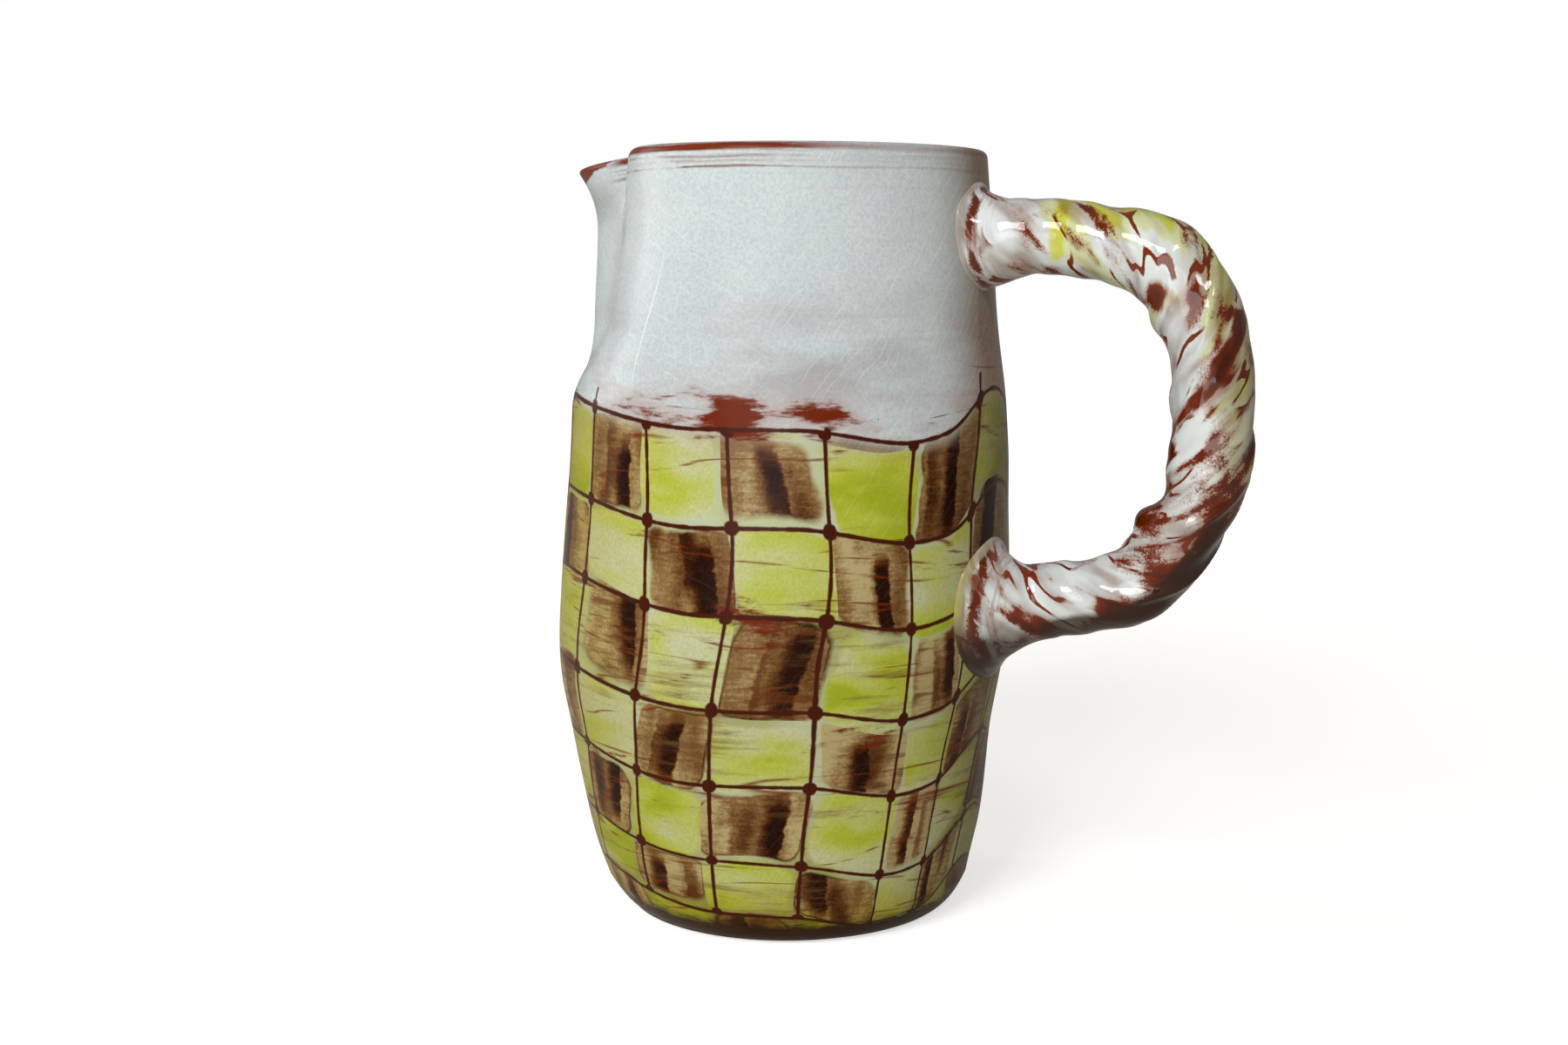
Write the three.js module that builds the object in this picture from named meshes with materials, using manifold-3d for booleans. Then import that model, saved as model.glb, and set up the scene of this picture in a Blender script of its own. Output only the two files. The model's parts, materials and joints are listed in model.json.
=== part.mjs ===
// Hand-thrown earthenware jug with a pinched spout and a twisted coil handle.
// Sizes are in millimetres and angles in degrees. The jug stands on Z = 0 with its axis along Z,
// the handle points to +X and the spout to -X.

import * as THREE from 'three';
import { mergeVertices } from 'three/addons/utils/BufferGeometryUtils.js';
import Module from 'manifold-3d';

const wasm = await Module();
wasm.setup();

// Outside of the thrown wall: a radius at each level, and the rise to it from the level below
const footRadius = 47;
const heelRadius = 57;
const heelRise = 10;
const lowerWallRadius = 61.5;
const lowerWallRise = 18;
const middleWallRadius = 65.6;
const middleWallRise = 27;
const bellyRadius = 69.6;
const bellyRise = 33;
const shoulderRadius = 67;
const shoulderRise = 64;
const neckRadius = 65;
const neckRise = 26;
const rimRadius = 61.4;
const rimRise = 51.8;

// Thickness of the thrown clay
const wallThickness = 5.5;
const floorThickness = 8;
const rimThickness = 4.4;
const floorCornerRise = 14;

// Spout: two fingers press the neck in beside it, one finger draws the lip out
const spoutLength = 77;
const pinchDepth = 13;
const pinchAngleAtRim = 42;
const pinchAngleAtFoot = 24;
const pinchSpread = 60;
const pinchFullShare = 0.35; // share of the spout's length over which the press comes in
const pinchLowShare = 0.6; // depth of the press there, as a share of its depth at the rim
const lipReach = 8;
const lipLength = 20;
const lipDip = 3.5;
const lipDipSpread = 100;

// Handle: a loop of twisted clay rolls between two joins on the wall
const upperJoinDrop = 25.6;
const lowerJoinHeight = 98;
const handleReach = 68.6;
const upperBendSquareness = 3.5;
const lowerBendSquareness = 2.45;
const bundleRadius = 10.4;
const bundleSwell = 1.5;
const rollCount = 3;
const rollEdgeRadius = 3.2;
const twistTurns = 2.6;
const firstRollAngle = 30;
const grooveCoilCount = 2;
const grooveCoilRadius = 1.3;
const grooveCoilTaper = 9;
const grooveCoilTip = 0.35; // thickness of a coil's tip, as a share of its full thickness

// Collars of clay worked round both ends of the handle
const upperCollarRadius = 15.5;
const lowerCollarRadius = 19.5;
const collarLength = 17;
const collarLipThickness = 2.4;
const collarEndThickness = 0.9;

// Clearances between neighbouring pieces
const seatGap = 0.3;
const rollGap = 0.4;

// Facets
const bodySegments = 80;
const wallRows = 16;
const handleSteps = 96;
const collarSegments = 32;

// Levels and places that follow from the sizes above
const heelHeight = heelRise;
const lowerWallHeight = heelHeight + lowerWallRise;
const middleWallHeight = lowerWallHeight + middleWallRise;
const bellyHeight = middleWallHeight + bellyRise;
const shoulderHeight = bellyHeight + shoulderRise;
const neckHeight = shoulderHeight + neckRise;
const rimHeight = neckHeight + rimRise;
const bodyHeight = rimHeight + rimThickness / 2;
const spoutFootHeight = bodyHeight - spoutLength;
const upperJoinHeight = bodyHeight - upperJoinDrop;

// Outside line of the wall, from the edge of the foot to the rim
const heelLine = new THREE.QuadraticBezierCurve(
  new THREE.Vector2(footRadius, 0),
  new THREE.Vector2((footRadius + heelRadius) / 2, 0),
  new THREE.Vector2(heelRadius, heelHeight),
);
const wallLine = new THREE.SplineCurve([
  new THREE.Vector2(heelRadius, heelHeight),
  new THREE.Vector2(lowerWallRadius, lowerWallHeight),
  new THREE.Vector2(middleWallRadius, middleWallHeight),
  new THREE.Vector2(bellyRadius, bellyHeight),
  new THREE.Vector2(shoulderRadius, shoulderHeight),
  new THREE.Vector2(neckRadius, neckHeight),
  new THREE.Vector2(rimRadius, rimHeight),
]);
const outsideLine = [...heelLine.getPoints(4), ...wallLine.getPoints(wallRows).slice(1)];

// Radius of the outside at a height
function outsideRadius(height) {
  const above = outsideLine.findIndex((point) => point.y >= height);
  if (above === -1) return rimRadius;
  if (above === 0) return footRadius;
  const low = outsideLine[above - 1];
  const high = outsideLine[above];
  return THREE.MathUtils.mapLinear(height, low.y, high.y, low.x, high.x);
}

// Radius of the inside at a height: the wall thins to the rim over the length of the neck
function insideRadius(height) {
  const towardsRim = THREE.MathUtils.smoothstep(height, shoulderHeight, rimHeight);
  return outsideRadius(height) - THREE.MathUtils.lerp(wallThickness, rimThickness, towardsRim);
}

// A cosine bump: 1 at the middle, 0 at the spread and beyond
function bump(offset, spread) {
  const share = Math.min(Math.abs(offset) / spread, 1);
  return Math.cos((share * Math.PI) / 2) ** 2;
}

// Press the neck in beside the spout and draw its lip out and down
function shapeSpout(geometry) {
  const place = geometry.getAttribute('position');
  for (let i = 0; i < place.count; i += 1) {
    const x = place.getX(i);
    const y = place.getY(i);
    const z = place.getZ(i);
    const radius = Math.hypot(x, y);
    if (z > spoutFootHeight && radius > 0) {
      const climb = Math.min((z - spoutFootHeight) / spoutLength, 1);
      const away = Math.abs(THREE.MathUtils.radToDeg(Math.atan2(y, -x)));
      const pinchAngle = THREE.MathUtils.lerp(pinchAngleAtFoot, pinchAngleAtRim, climb);
      const onset = THREE.MathUtils.smoothstep(climb, 0, pinchFullShare);
      const depth = pinchDepth * onset * THREE.MathUtils.lerp(pinchLowShare, 1, climb);
      const spread = away < pinchAngle ? pinchAngle : pinchSpread;
      const press = depth * bump(away - pinchAngle, spread);
      const lipClimb = THREE.MathUtils.clamp((z - bodyHeight + lipLength) / lipLength, 0, 1);
      const flare = lipReach * lipClimb ** 2 * bump(away, pinchAngle);
      const dip = lipDip * climb ** 3 * bump(away, lipDipSpread);
      const scale = (radius - press + flare) / radius;
      place.setXYZ(i, x * scale, y * scale, z - dip);
    }
  }
  return geometry;
}

// Turn a profile of radius and height into a solid of revolution about Z
function turned(profile, segments) {
  return new THREE.LatheGeometry(profile, segments).rotateX(Math.PI / 2);
}

// Closed solid from a geometry, for cutting
function solidOf(geometry) {
  const bare = new THREE.BufferGeometry();
  bare.setAttribute('position', geometry.getAttribute('position').clone());
  bare.setIndex(geometry.index);
  const merged = mergeVertices(bare, 1e-4);
  const corners = merged.index.array;
  const triangles = [];
  for (let i = 0; i < corners.length; i += 3) {
    const [a, b, c] = [corners[i], corners[i + 1], corners[i + 2]];
    if (a !== b && b !== c && c !== a) triangles.push(a, b, c);
  }
  const mesh = new wasm.Mesh({
    numProp: 3,
    vertProperties: new Float32Array(merged.getAttribute('position').array),
    triVerts: new Uint32Array(triangles),
  });
  return new wasm.Manifold(mesh);
}

// Geometry from a closed solid
function geometryOf(solid) {
  const mesh = solid.getMesh();
  const geometry = new THREE.BufferGeometry();
  geometry.setAttribute('position', new THREE.BufferAttribute(mesh.vertProperties, 3));
  geometry.setIndex(new THREE.BufferAttribute(mesh.triVerts, 1));
  geometry.computeVertexNormals();
  return geometry;
}

// Thrown body: foot, wall and rim outside, then back down the inside to the floor
function thrownBody() {
  const rimLine = new THREE.EllipseCurve(
    rimRadius - rimThickness / 2, rimHeight, rimThickness / 2, rimThickness / 2, 0, Math.PI,
  );
  const cornerTop = floorThickness + floorCornerRise;
  const insideLine = [];
  for (let row = 1; row <= wallRows; row += 1) {
    const height = THREE.MathUtils.lerp(rimHeight, cornerTop, row / wallRows);
    insideLine.push(new THREE.Vector2(insideRadius(height), height));
  }
  const cornerRadius = insideRadius(cornerTop);
  const cornerLine = new THREE.QuadraticBezierCurve(
    new THREE.Vector2(cornerRadius, cornerTop),
    new THREE.Vector2(cornerRadius - wallThickness / 2, floorThickness),
    new THREE.Vector2(cornerRadius - floorCornerRise, floorThickness),
  );
  const profile = [
    new THREE.Vector2(0, 0),
    ...outsideLine,
    ...rimLine.getPoints(6).slice(1),
    ...insideLine,
    ...cornerLine.getPoints(4).slice(1),
    new THREE.Vector2(0, floorThickness),
  ];
  return shapeSpout(turned(profile, bodySegments));
}

// The wall's outside grown by the seat gap, as a plug that trims what sits on it
function wallPlug() {
  const grown = outsideLine.map((point) => new THREE.Vector2(point.x + seatGap, point.y));
  const profile = [new THREE.Vector2(0, 0), ...grown, new THREE.Vector2(0, bodyHeight)];
  return solidOf(turned(profile, bodySegments));
}

// Centre line of the handle: half a rounded square in the XZ plane, squarer above than below
const upperWallRadius = outsideRadius(upperJoinHeight);
const lowerWallAtJoin = outsideRadius(lowerJoinHeight);
const widestCollar = Math.max(upperCollarRadius, lowerCollarRadius);
const wallFallAway = upperWallRadius - Math.sqrt(upperWallRadius ** 2 - widestCollar ** 2);
const rootDepth = wallFallAway + collarLipThickness;
const rootX = Math.min(upperWallRadius, lowerWallAtJoin) - rootDepth;
const farX = upperWallRadius + handleReach;
const handleMiddle = (upperJoinHeight + lowerJoinHeight) / 2;
const handleHalfSpan = (upperJoinHeight - lowerJoinHeight) / 2;

class HandleLine extends THREE.Curve {
  getPoint(t, target = new THREE.Vector3()) {
    const angle = Math.PI * t;
    const squareness = t < 0.5 ? upperBendSquareness : lowerBendSquareness;
    const out = Math.max(Math.sin(angle), 0) ** (2 / squareness);
    const up = Math.sign(Math.cos(angle)) * Math.abs(Math.cos(angle)) ** (2 / squareness);
    return target.set(rootX + (farX - rootX) * out, 0, handleMiddle + handleHalfSpan * up);
  }
}

const handleLine = new HandleLine();
handleLine.arcLengthDivisions = 800;
const handleLength = handleLine.getLength();
const upperSeat = upperWallRadius - rootX;
const lowerSeat = lowerWallAtJoin - rootX;

// How much thicker the bundle is along the run: it swells between the collars
function thickening(run) {
  return 1 + (bundleSwell / bundleRadius) * Math.sin(Math.PI * run) ** 2;
}

// Twist a straight piece and bend it round the centre line: its X becomes outward, its Z the run
function bendAlongHandle(geometry, turns) {
  const place = geometry.getAttribute('position');
  const side = new THREE.Vector3(0, -1, 0);
  for (let i = 0; i < place.count; i += 1) {
    const run = THREE.MathUtils.clamp(place.getZ(i) / handleLength, 0, 1);
    const across = new THREE.Vector2(place.getX(i), place.getY(i));
    across.rotateAround(new THREE.Vector2(), run * turns * 2 * Math.PI);
    across.multiplyScalar(thickening(run));
    const ahead = handleLine.getTangentAt(run);
    const outward = new THREE.Vector3(-ahead.z, 0, ahead.x);
    const point = handleLine.getPointAt(run);
    point.addScaledVector(outward, across.x).addScaledVector(side, across.y);
    place.setXYZ(i, point.x, point.y, point.z);
  }
  return geometry;
}

// Half the angle of one roll's wedge, and the centre of the round on its outer edges
const wedgeHalf = Math.PI / rollCount;
const edgeRadius = Math.min(rollEdgeRadius, bundleRadius / 3);
const edgeCentreRadius = bundleRadius - edgeRadius;
const edgeCentreOffset = edgeRadius + rollGap / 2;
const edgeCentreAngle = wedgeHalf - Math.asin(edgeCentreOffset / edgeCentreRadius);

// Section of one roll: a wedge of the bundle with rounded outer edges
function rollSection(turn) {
  const tip = rollGap / 2 / Math.sin(wedgeHalf);
  const flankEnd = edgeCentreRadius * Math.cos(wedgeHalf - edgeCentreAngle);
  const flankPoint = (share, sign) => {
    const along = THREE.MathUtils.lerp(tip * Math.cos(wedgeHalf), flankEnd, share);
    return new THREE.Vector2(along, (-sign * rollGap) / 2)
      .rotateAround(new THREE.Vector2(), turn + sign * wedgeHalf);
  };
  const edgeArc = (sign, from, to) => new THREE.EllipseCurve(
    edgeCentreRadius * Math.cos(turn + sign * edgeCentreAngle),
    edgeCentreRadius * Math.sin(turn + sign * edgeCentreAngle),
    edgeRadius, edgeRadius, from, to,
  );
  const quarter = Math.PI / 2;
  const back = new THREE.EllipseCurve(
    0, 0, bundleRadius, bundleRadius, turn - edgeCentreAngle, turn + edgeCentreAngle,
  );
  return new THREE.Shape([
    new THREE.Vector2(tip, 0).rotateAround(new THREE.Vector2(), turn),
    flankPoint(0.33, -1),
    flankPoint(0.67, -1),
    ...edgeArc(-1, turn - wedgeHalf - quarter, turn - edgeCentreAngle).getPoints(3),
    ...back.getPoints(3).slice(1, -1),
    ...edgeArc(1, turn + edgeCentreAngle, turn + wedgeHalf + quarter).getPoints(3),
    flankPoint(0.67, 1),
    flankPoint(0.33, 1),
  ]);
}

// One clay roll of the handle, trimmed to the wall at both ends
function handleRoll(index, plug) {
  const turn = THREE.MathUtils.degToRad(firstRollAngle) + index * 2 * wedgeHalf;
  const straight = new THREE.ExtrudeGeometry(rollSection(turn), {
    depth: handleLength, steps: handleSteps, bevelEnabled: false,
  });
  return geometryOf(solidOf(bendAlongHandle(straight, twistTurns)).subtract(plug));
}

// A thin coil lying in the groove after one roll, from collar to collar, with tapering ends
function grooveCoil(index) {
  const turn = THREE.MathUtils.degToRad(firstRollAngle) + (2 * index + 1) * wedgeHalf;
  const reach = edgeRadius + grooveCoilRadius + seatGap;
  const nestRadius = edgeCentreRadius * Math.cos(wedgeHalf - edgeCentreAngle)
    + Math.sqrt(reach ** 2 - edgeCentreOffset ** 2);
  const start = upperSeat + collarLength + seatGap;
  const length = handleLength - lowerSeat - collarLength - seatGap - start;
  const section = new THREE.Shape(
    new THREE.EllipseCurve(0, 0, grooveCoilRadius, grooveCoilRadius).getPoints(8).slice(0, -1),
  );
  const coil = new THREE.ExtrudeGeometry(section, {
    depth: length, steps: handleSteps - 8, bevelEnabled: false,
  });
  const place = coil.getAttribute('position');
  for (let i = 0; i < place.count; i += 1) {
    const fromEnd = Math.min(place.getZ(i), length - place.getZ(i));
    const rise = Math.sqrt(THREE.MathUtils.clamp(fromEnd / grooveCoilTaper, 0, 1));
    const fullness = THREE.MathUtils.lerp(grooveCoilTip, 1, rise);
    const across = new THREE.Vector2(place.getX(i) * fullness + nestRadius, place.getY(i) * fullness);
    across.rotateAround(new THREE.Vector2(), turn);
    place.setXYZ(i, across.x, across.y, place.getZ(i) + start);
  }
  return geometryOf(solidOf(bendAlongHandle(coil, twistTurns)));
}

// Straight collar flaring from the handle to the wall
function collarRing(flangeRadius, seat) {
  const bore = bundleRadius + seatGap;
  const lipRound = collarLipThickness / 2;
  const lipEnd = seat + collarLipThickness;
  const end = seat + collarLength;
  const flare = new THREE.QuadraticBezierCurve(
    new THREE.Vector2(flangeRadius - lipRound, lipEnd),
    new THREE.Vector2(bore + collarEndThickness, lipEnd),
    new THREE.Vector2(bore + collarEndThickness, end - collarEndThickness),
  );
  const boreLine = new THREE.LineCurve(new THREE.Vector2(bore, end), new THREE.Vector2(bore, seat));
  const profile = [
    new THREE.Vector2(bore, 0),
    new THREE.Vector2(flangeRadius, 0),
    new THREE.Vector2(flangeRadius, seat),
    new THREE.Vector2(flangeRadius, lipEnd - lipRound),
    ...flare.getPoints(5),
    new THREE.Vector2(bore + collarEndThickness / 2, end),
    ...boreLine.getPoints(6),
    new THREE.Vector2(bore, 0),
  ];
  return turned(profile, collarSegments);
}

// Collars in place, trimmed to the wall
function upperCollar(plug) {
  const ring = collarRing(upperCollarRadius, upperSeat);
  return geometryOf(solidOf(bendAlongHandle(ring, 0)).subtract(plug));
}

function lowerCollar(plug) {
  const ring = collarRing(lowerCollarRadius, lowerSeat);
  ring.rotateX(Math.PI).translate(0, 0, handleLength);
  return geometryOf(solidOf(bendAlongHandle(ring, 0)).subtract(plug));
}

// The assembly
const jug = new THREE.Group();
jug.name = 'jug';

function addPiece(name, geometry, colour, roughness) {
  const material = new THREE.MeshStandardMaterial({ color: colour, roughness, metalness: 0 });
  const piece = new THREE.Mesh(geometry, material);
  piece.name = name;
  jug.add(piece);
}

const plug = wallPlug();
addPiece('thrown_body', geometryOf(solidOf(thrownBody())), '#c6cbc6', 0.22);
for (let index = 0; index < rollCount; index += 1) {
  addPiece(`handle_roll_${index + 1}`, handleRoll(index, plug), '#c9c2b6', 0.2);
}
for (let index = 0; index < grooveCoilCount; index += 1) {
  addPiece(`groove_coil_${index + 1}`, grooveCoil(index), '#d6d9d2', 0.2);
}
addPiece('upper_collar', upperCollar(plug), '#cdc9c2', 0.2);
addPiece('lower_collar', lowerCollar(plug), '#b9a89a', 0.2);

export default jug;
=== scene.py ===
# %% [markdown]
# # A hand-thrown jug with a twisted handle
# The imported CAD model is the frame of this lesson: it says where each piece of the jug is, in metres,
# with Z up, the handle towards +X and the spout towards -X. The pieces below are shaped again with
# more detail, in the same places, and get the finishes that the fired pot has.

# %% Load the frame
import json
import math

import bmesh
import bpy
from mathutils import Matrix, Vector, noise
from mathutils.kdtree import KDTree

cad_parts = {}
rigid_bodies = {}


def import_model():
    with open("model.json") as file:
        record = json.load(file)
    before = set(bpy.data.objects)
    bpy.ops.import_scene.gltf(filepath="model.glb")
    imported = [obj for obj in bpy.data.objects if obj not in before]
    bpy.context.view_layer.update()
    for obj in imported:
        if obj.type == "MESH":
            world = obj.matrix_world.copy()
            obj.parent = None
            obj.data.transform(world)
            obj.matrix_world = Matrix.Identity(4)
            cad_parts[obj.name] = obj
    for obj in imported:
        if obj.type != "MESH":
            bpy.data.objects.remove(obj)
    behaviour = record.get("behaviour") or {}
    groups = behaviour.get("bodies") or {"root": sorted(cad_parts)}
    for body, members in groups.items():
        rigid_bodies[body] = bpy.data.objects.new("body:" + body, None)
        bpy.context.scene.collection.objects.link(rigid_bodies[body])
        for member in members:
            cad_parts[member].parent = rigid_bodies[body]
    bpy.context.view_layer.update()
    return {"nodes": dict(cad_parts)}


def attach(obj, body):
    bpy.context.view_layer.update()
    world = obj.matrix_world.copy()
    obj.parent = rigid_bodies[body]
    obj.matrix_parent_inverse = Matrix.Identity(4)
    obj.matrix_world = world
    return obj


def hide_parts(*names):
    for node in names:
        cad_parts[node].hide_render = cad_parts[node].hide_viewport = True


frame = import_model()
scene = bpy.context.scene
scene.view_settings.view_transform = "Standard"
MM = 0.001
print("CAD nodes:", ", ".join(sorted(frame["nodes"])))

# %% [markdown]
# ## The thrown body
# On the wheel a pot is a turned shape: one outline, spun about the axis. So the outline comes first, as a
# radius at each level, joined by a smooth curve. The potter then leaned on it a little while it was soft,
# pressed the neck in with two fingers and drew the lip out between them. Those moves are made on the
# spun mesh, point by point, because no operator presses clay the way a finger does.

# %% Sizes of the body, in millimetres
WALL_LEVELS = (  # radius and height on the outside, from the heel to the rim
    (57.0, 10.0), (61.5, 28.0), (65.6, 55.0), (69.6, 88.0), (67.0, 152.0), (65.0, 178.0), (61.4, 229.8),
)
FOOT_RADIUS = 47.0
WALL_THICKNESS = 5.5
RIM_THICKNESS = 4.4
FLOOR_THICKNESS = 8.0
FLOOR_CORNER = 14.0
HEEL_RADIUS, HEEL_HEIGHT = WALL_LEVELS[0]
RIM_RADIUS, RIM_HEIGHT = WALL_LEVELS[-1]
BODY_HEIGHT = RIM_HEIGHT + RIM_THICKNESS / 2
NECK_START = WALL_LEVELS[4][1]


def clamp(value, low=0.0, high=1.0):
    """The value, held between two ends."""
    return max(low, min(high, value))


def smoothstep(low, high, value):
    """0 below the low end, 1 above the high end, and a soft rise between them."""
    share = clamp((value - low) / (high - low))
    return share * share * (3 - 2 * share)


def mix(start, end, share):
    """A share of the way from start to end."""
    return start + (end - start) * share


def bump(offset, spread):
    """A smooth hump: 1 at its middle, 0 at the spread and beyond."""
    return math.cos(min(abs(offset) / spread, 1) * math.pi / 2) ** 2


def smooth_line(points, steps):
    """Points on a smooth curve through the given ones."""
    ends = [points[0], *points, points[-1]]
    line = []
    for a, b, c, d in zip(ends, ends[1:], ends[2:], ends[3:]):
        for step in range(steps):
            t = step / steps
            weights = (
                (-t + 2 * t**2 - t**3) / 2, (2 - 5 * t**2 + 3 * t**3) / 2,
                (t + 4 * t**2 - 3 * t**3) / 2, (-(t**2) + t**3) / 2,
            )
            line.append(tuple(sum(w * p[i] for w, p in zip(weights, (a, b, c, d))) for i in (0, 1)))
    return [*line, points[-1]]


OUTSIDE = smooth_line(WALL_LEVELS, 24)
print("points on the wall's outline:", len(OUTSIDE))

# %% The outline of the clay, outside and inside
def outside_radius(height):
    """Radius of the wall's outside at a height."""
    for low, high in zip(OUTSIDE, OUTSIDE[1:]):
        if height <= high[1]:
            return mix(low[0], high[0], clamp((height - low[1]) / (high[1] - low[1])))
    return RIM_RADIUS


def inside_radius(height):
    """Radius of the wall's inside at a height: the wall thins towards the rim."""
    thin = smoothstep(NECK_START, RIM_HEIGHT, height)
    return outside_radius(height) - mix(WALL_THICKNESS, RIM_THICKNESS, thin)


def corner(start, pull, end, steps):
    """Points on a curve from start to end, drawn towards pull."""
    shares = [step / steps for step in range(steps + 1)]
    return [
        tuple((1 - t) ** 2 * s + 2 * t * (1 - t) * p + t**2 * e for s, p, e in zip(start, pull, end))
        for t in shares
    ]


heel = corner((FOOT_RADIUS, 0), ((FOOT_RADIUS + HEEL_RADIUS) / 2, 0), (HEEL_RADIUS, HEEL_HEIGHT), 10)
rim_half = RIM_THICKNESS / 2
rim = [
    (RIM_RADIUS - rim_half + rim_half * math.cos(turn), RIM_HEIGHT + rim_half * math.sin(turn))
    for turn in (math.pi * step / 12 for step in range(1, 12))
]
corner_top = FLOOR_THICKNESS + FLOOR_CORNER
inside_rows = 56
inside = [
    (inside_radius(height), height)
    for height in (mix(RIM_HEIGHT, corner_top, row / inside_rows) for row in range(inside_rows + 1))
]
corner_radius = inside_radius(corner_top)
floor_corner = corner(
    (corner_radius, corner_top), (corner_radius - WALL_THICKNESS / 2, FLOOR_THICKNESS),
    (corner_radius - FLOOR_CORNER, FLOOR_THICKNESS), 8,
)
outline = [(0, 0), (FOOT_RADIUS / 2, 0), *heel, *OUTSIDE[1:], *rim, *inside, *floor_corner[1:]]
outline += [(FOOT_RADIUS / 3, FLOOR_THICKNESS), (0, FLOOR_THICKNESS)]
print("points on the whole outline:", len(outline))

# %% Spin the outline
SPIN_STEPS = 288
SAME_POINT = 0.01  # points of the spun outline that lie closer than this are one

bm = bmesh.new()
ring = [bm.verts.new((radius * MM, 0, height * MM)) for radius, height in outline]
edges = [bm.edges.new(pair) for pair in zip(ring, ring[1:])]
bmesh.ops.spin(
    bm, geom=ring + edges, cent=(0, 0, 0), axis=(0, 0, 1), angle=2 * math.pi, steps=SPIN_STEPS,
    use_merge=True,
)
bmesh.ops.remove_doubles(bm, verts=bm.verts[:], dist=SAME_POINT * MM)
bmesh.ops.recalc_face_normals(bm, faces=bm.faces[:])
print("faces of the spun body:", len(bm.faces))

# %% [markdown]
# ### Spout and lean
# Two fingers press the neck in and one draws the lip out between the presses. Each press is a hump of angle,
# soft low down and sharp at the rim, which fades in up the neck. The height before the press is kept on every
# point, because the painted rim follows the rim that was thrown, wherever it ends up.

# %% How the fingers press the soft clay
SPOUT_LENGTH = 77.0
PINCH_DEPTH = 13.0
PINCH_FULL = 0.35  # share of the spout's height over which the press comes in
PINCH_SHARES = (0.6, 1.08)  # of its depth, low down and at the rim
PINCH_ANGLE_RIM, PINCH_ANGLE_FOOT = 42.0, 24.0
PINCH_SPREAD = 60.0
CREASE_START = 0.62  # share of the spout's height above which the press is a sharp crease
LIP_REACH = 8.0
LIP_LENGTH = 20.0
LIP_DIP = 5.0
LIP_DIP_SPREAD = 66.0


def pressed(radius, angle, height):
    """Where a point of the turned clay ends up after the potter's fingers: radius and height."""
    climb = clamp((height - BODY_HEIGHT + SPOUT_LENGTH) / SPOUT_LENGTH)
    away = abs(math.degrees(math.remainder(angle - math.pi, 2 * math.pi)))
    pinch_angle = mix(PINCH_ANGLE_FOOT, PINCH_ANGLE_RIM, climb)
    depth = PINCH_DEPTH * smoothstep(0, PINCH_FULL, climb) * mix(*PINCH_SHARES, climb)
    spread = pinch_angle if away < pinch_angle else PINCH_SPREAD
    soft_press = bump(away - pinch_angle, spread)
    sharp_press = (1 - min(abs(away - pinch_angle) / spread, 1)) ** 2
    press = depth * mix(soft_press, sharp_press, smoothstep(CREASE_START, 1, climb))
    lip_climb = clamp((height - BODY_HEIGHT + LIP_LENGTH) / LIP_LENGTH)
    flare = LIP_REACH * lip_climb**2 * bump(away, pinch_angle)
    return radius - press + flare, height - LIP_DIP * climb**3 * bump(away, LIP_DIP_SPREAD)


lip_middle = pressed(RIM_RADIUS, math.pi, RIM_HEIGHT)
print("rim at the middle of the lip:", [round(value, 1) for value in lip_middle])

# %% Press and lean the body
FRONT = math.radians(-66)  # the side that faces the camera, as an angle round the axis
LEANS = ((0.0, 24.0, 1.0), (66.0, 46.0, -1.8), (147.0, 42.0, 1.1))  # height, spread and sideways shift
WAVES = ((40, 0.45), (14, 0.12))  # size and depth of the wall's unevenness
EVEN_FOOT = 20  # height below which the wall runs out evenly to the foot
thrown_height = bm.verts.layers.float.new("thrown_height")
is_inside = bm.verts.layers.float.new("inside")
lean_way = Vector((math.cos(FRONT + math.pi / 2), math.sin(FRONT + math.pi / 2), 0))
for vert in bm.verts:
    height = vert.co.z / MM
    radius = vert.co.xy.length / MM
    angle = math.atan2(vert.co.y, vert.co.x)
    vert[thrown_height] = height
    wall_middle = outside_radius(height) - WALL_THICKNESS / 2
    vert[is_inside] = 1.0 if height > FLOOR_THICKNESS - 0.1 and radius < wall_middle else 0.0
    if height < 0.5 or radius < 1:
        continue
    soft = sum(noise.noise(vert.co / (size * MM)) * depth for size, depth in WAVES)
    radius, height = pressed(radius + soft * smoothstep(0, EVEN_FOOT, height), angle, height)
    lean = sum(shift * bump(height - middle, spread) for middle, spread, shift in LEANS)
    vert.co = Vector((radius * math.cos(angle), radius * math.sin(angle), height)) * MM
    vert.co += lean_way * lean * MM
print("lip reaches", round(-min(v.co.x for v in bm.verts) / MM, 1), "mm from the axis")

# %% Make the body an object
def make_piece(name, shape, nodes):
    """A finished piece: smooth, on the root body, standing for its CAD nodes."""
    mesh = bpy.data.meshes.new(name)
    shape.to_mesh(mesh)
    shape.free()
    mesh.shade_smooth()
    piece = bpy.data.objects.new(name, mesh)
    scene.collection.objects.link(piece)
    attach(piece, "root")
    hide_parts(*nodes)
    print(name, "has", len(mesh.polygons), "faces")
    return piece


jug_body = make_piece("jug_body", bm, ["thrown_body"])

# %% [markdown]
# ## The handle
# The handle is a rope of clay: three thick rolls twisted together, two thin coils laid into the grooves,
# and a collar of clay worked round each end to hold it on the wall. Wet clay welds where it is pressed, so
# the rolls are laid as curves with a round section, and a voxel remesh welds them into one skin. Screwing one
# lobed outline along the loop would be quicker, but its grooves would all look alike.

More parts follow.
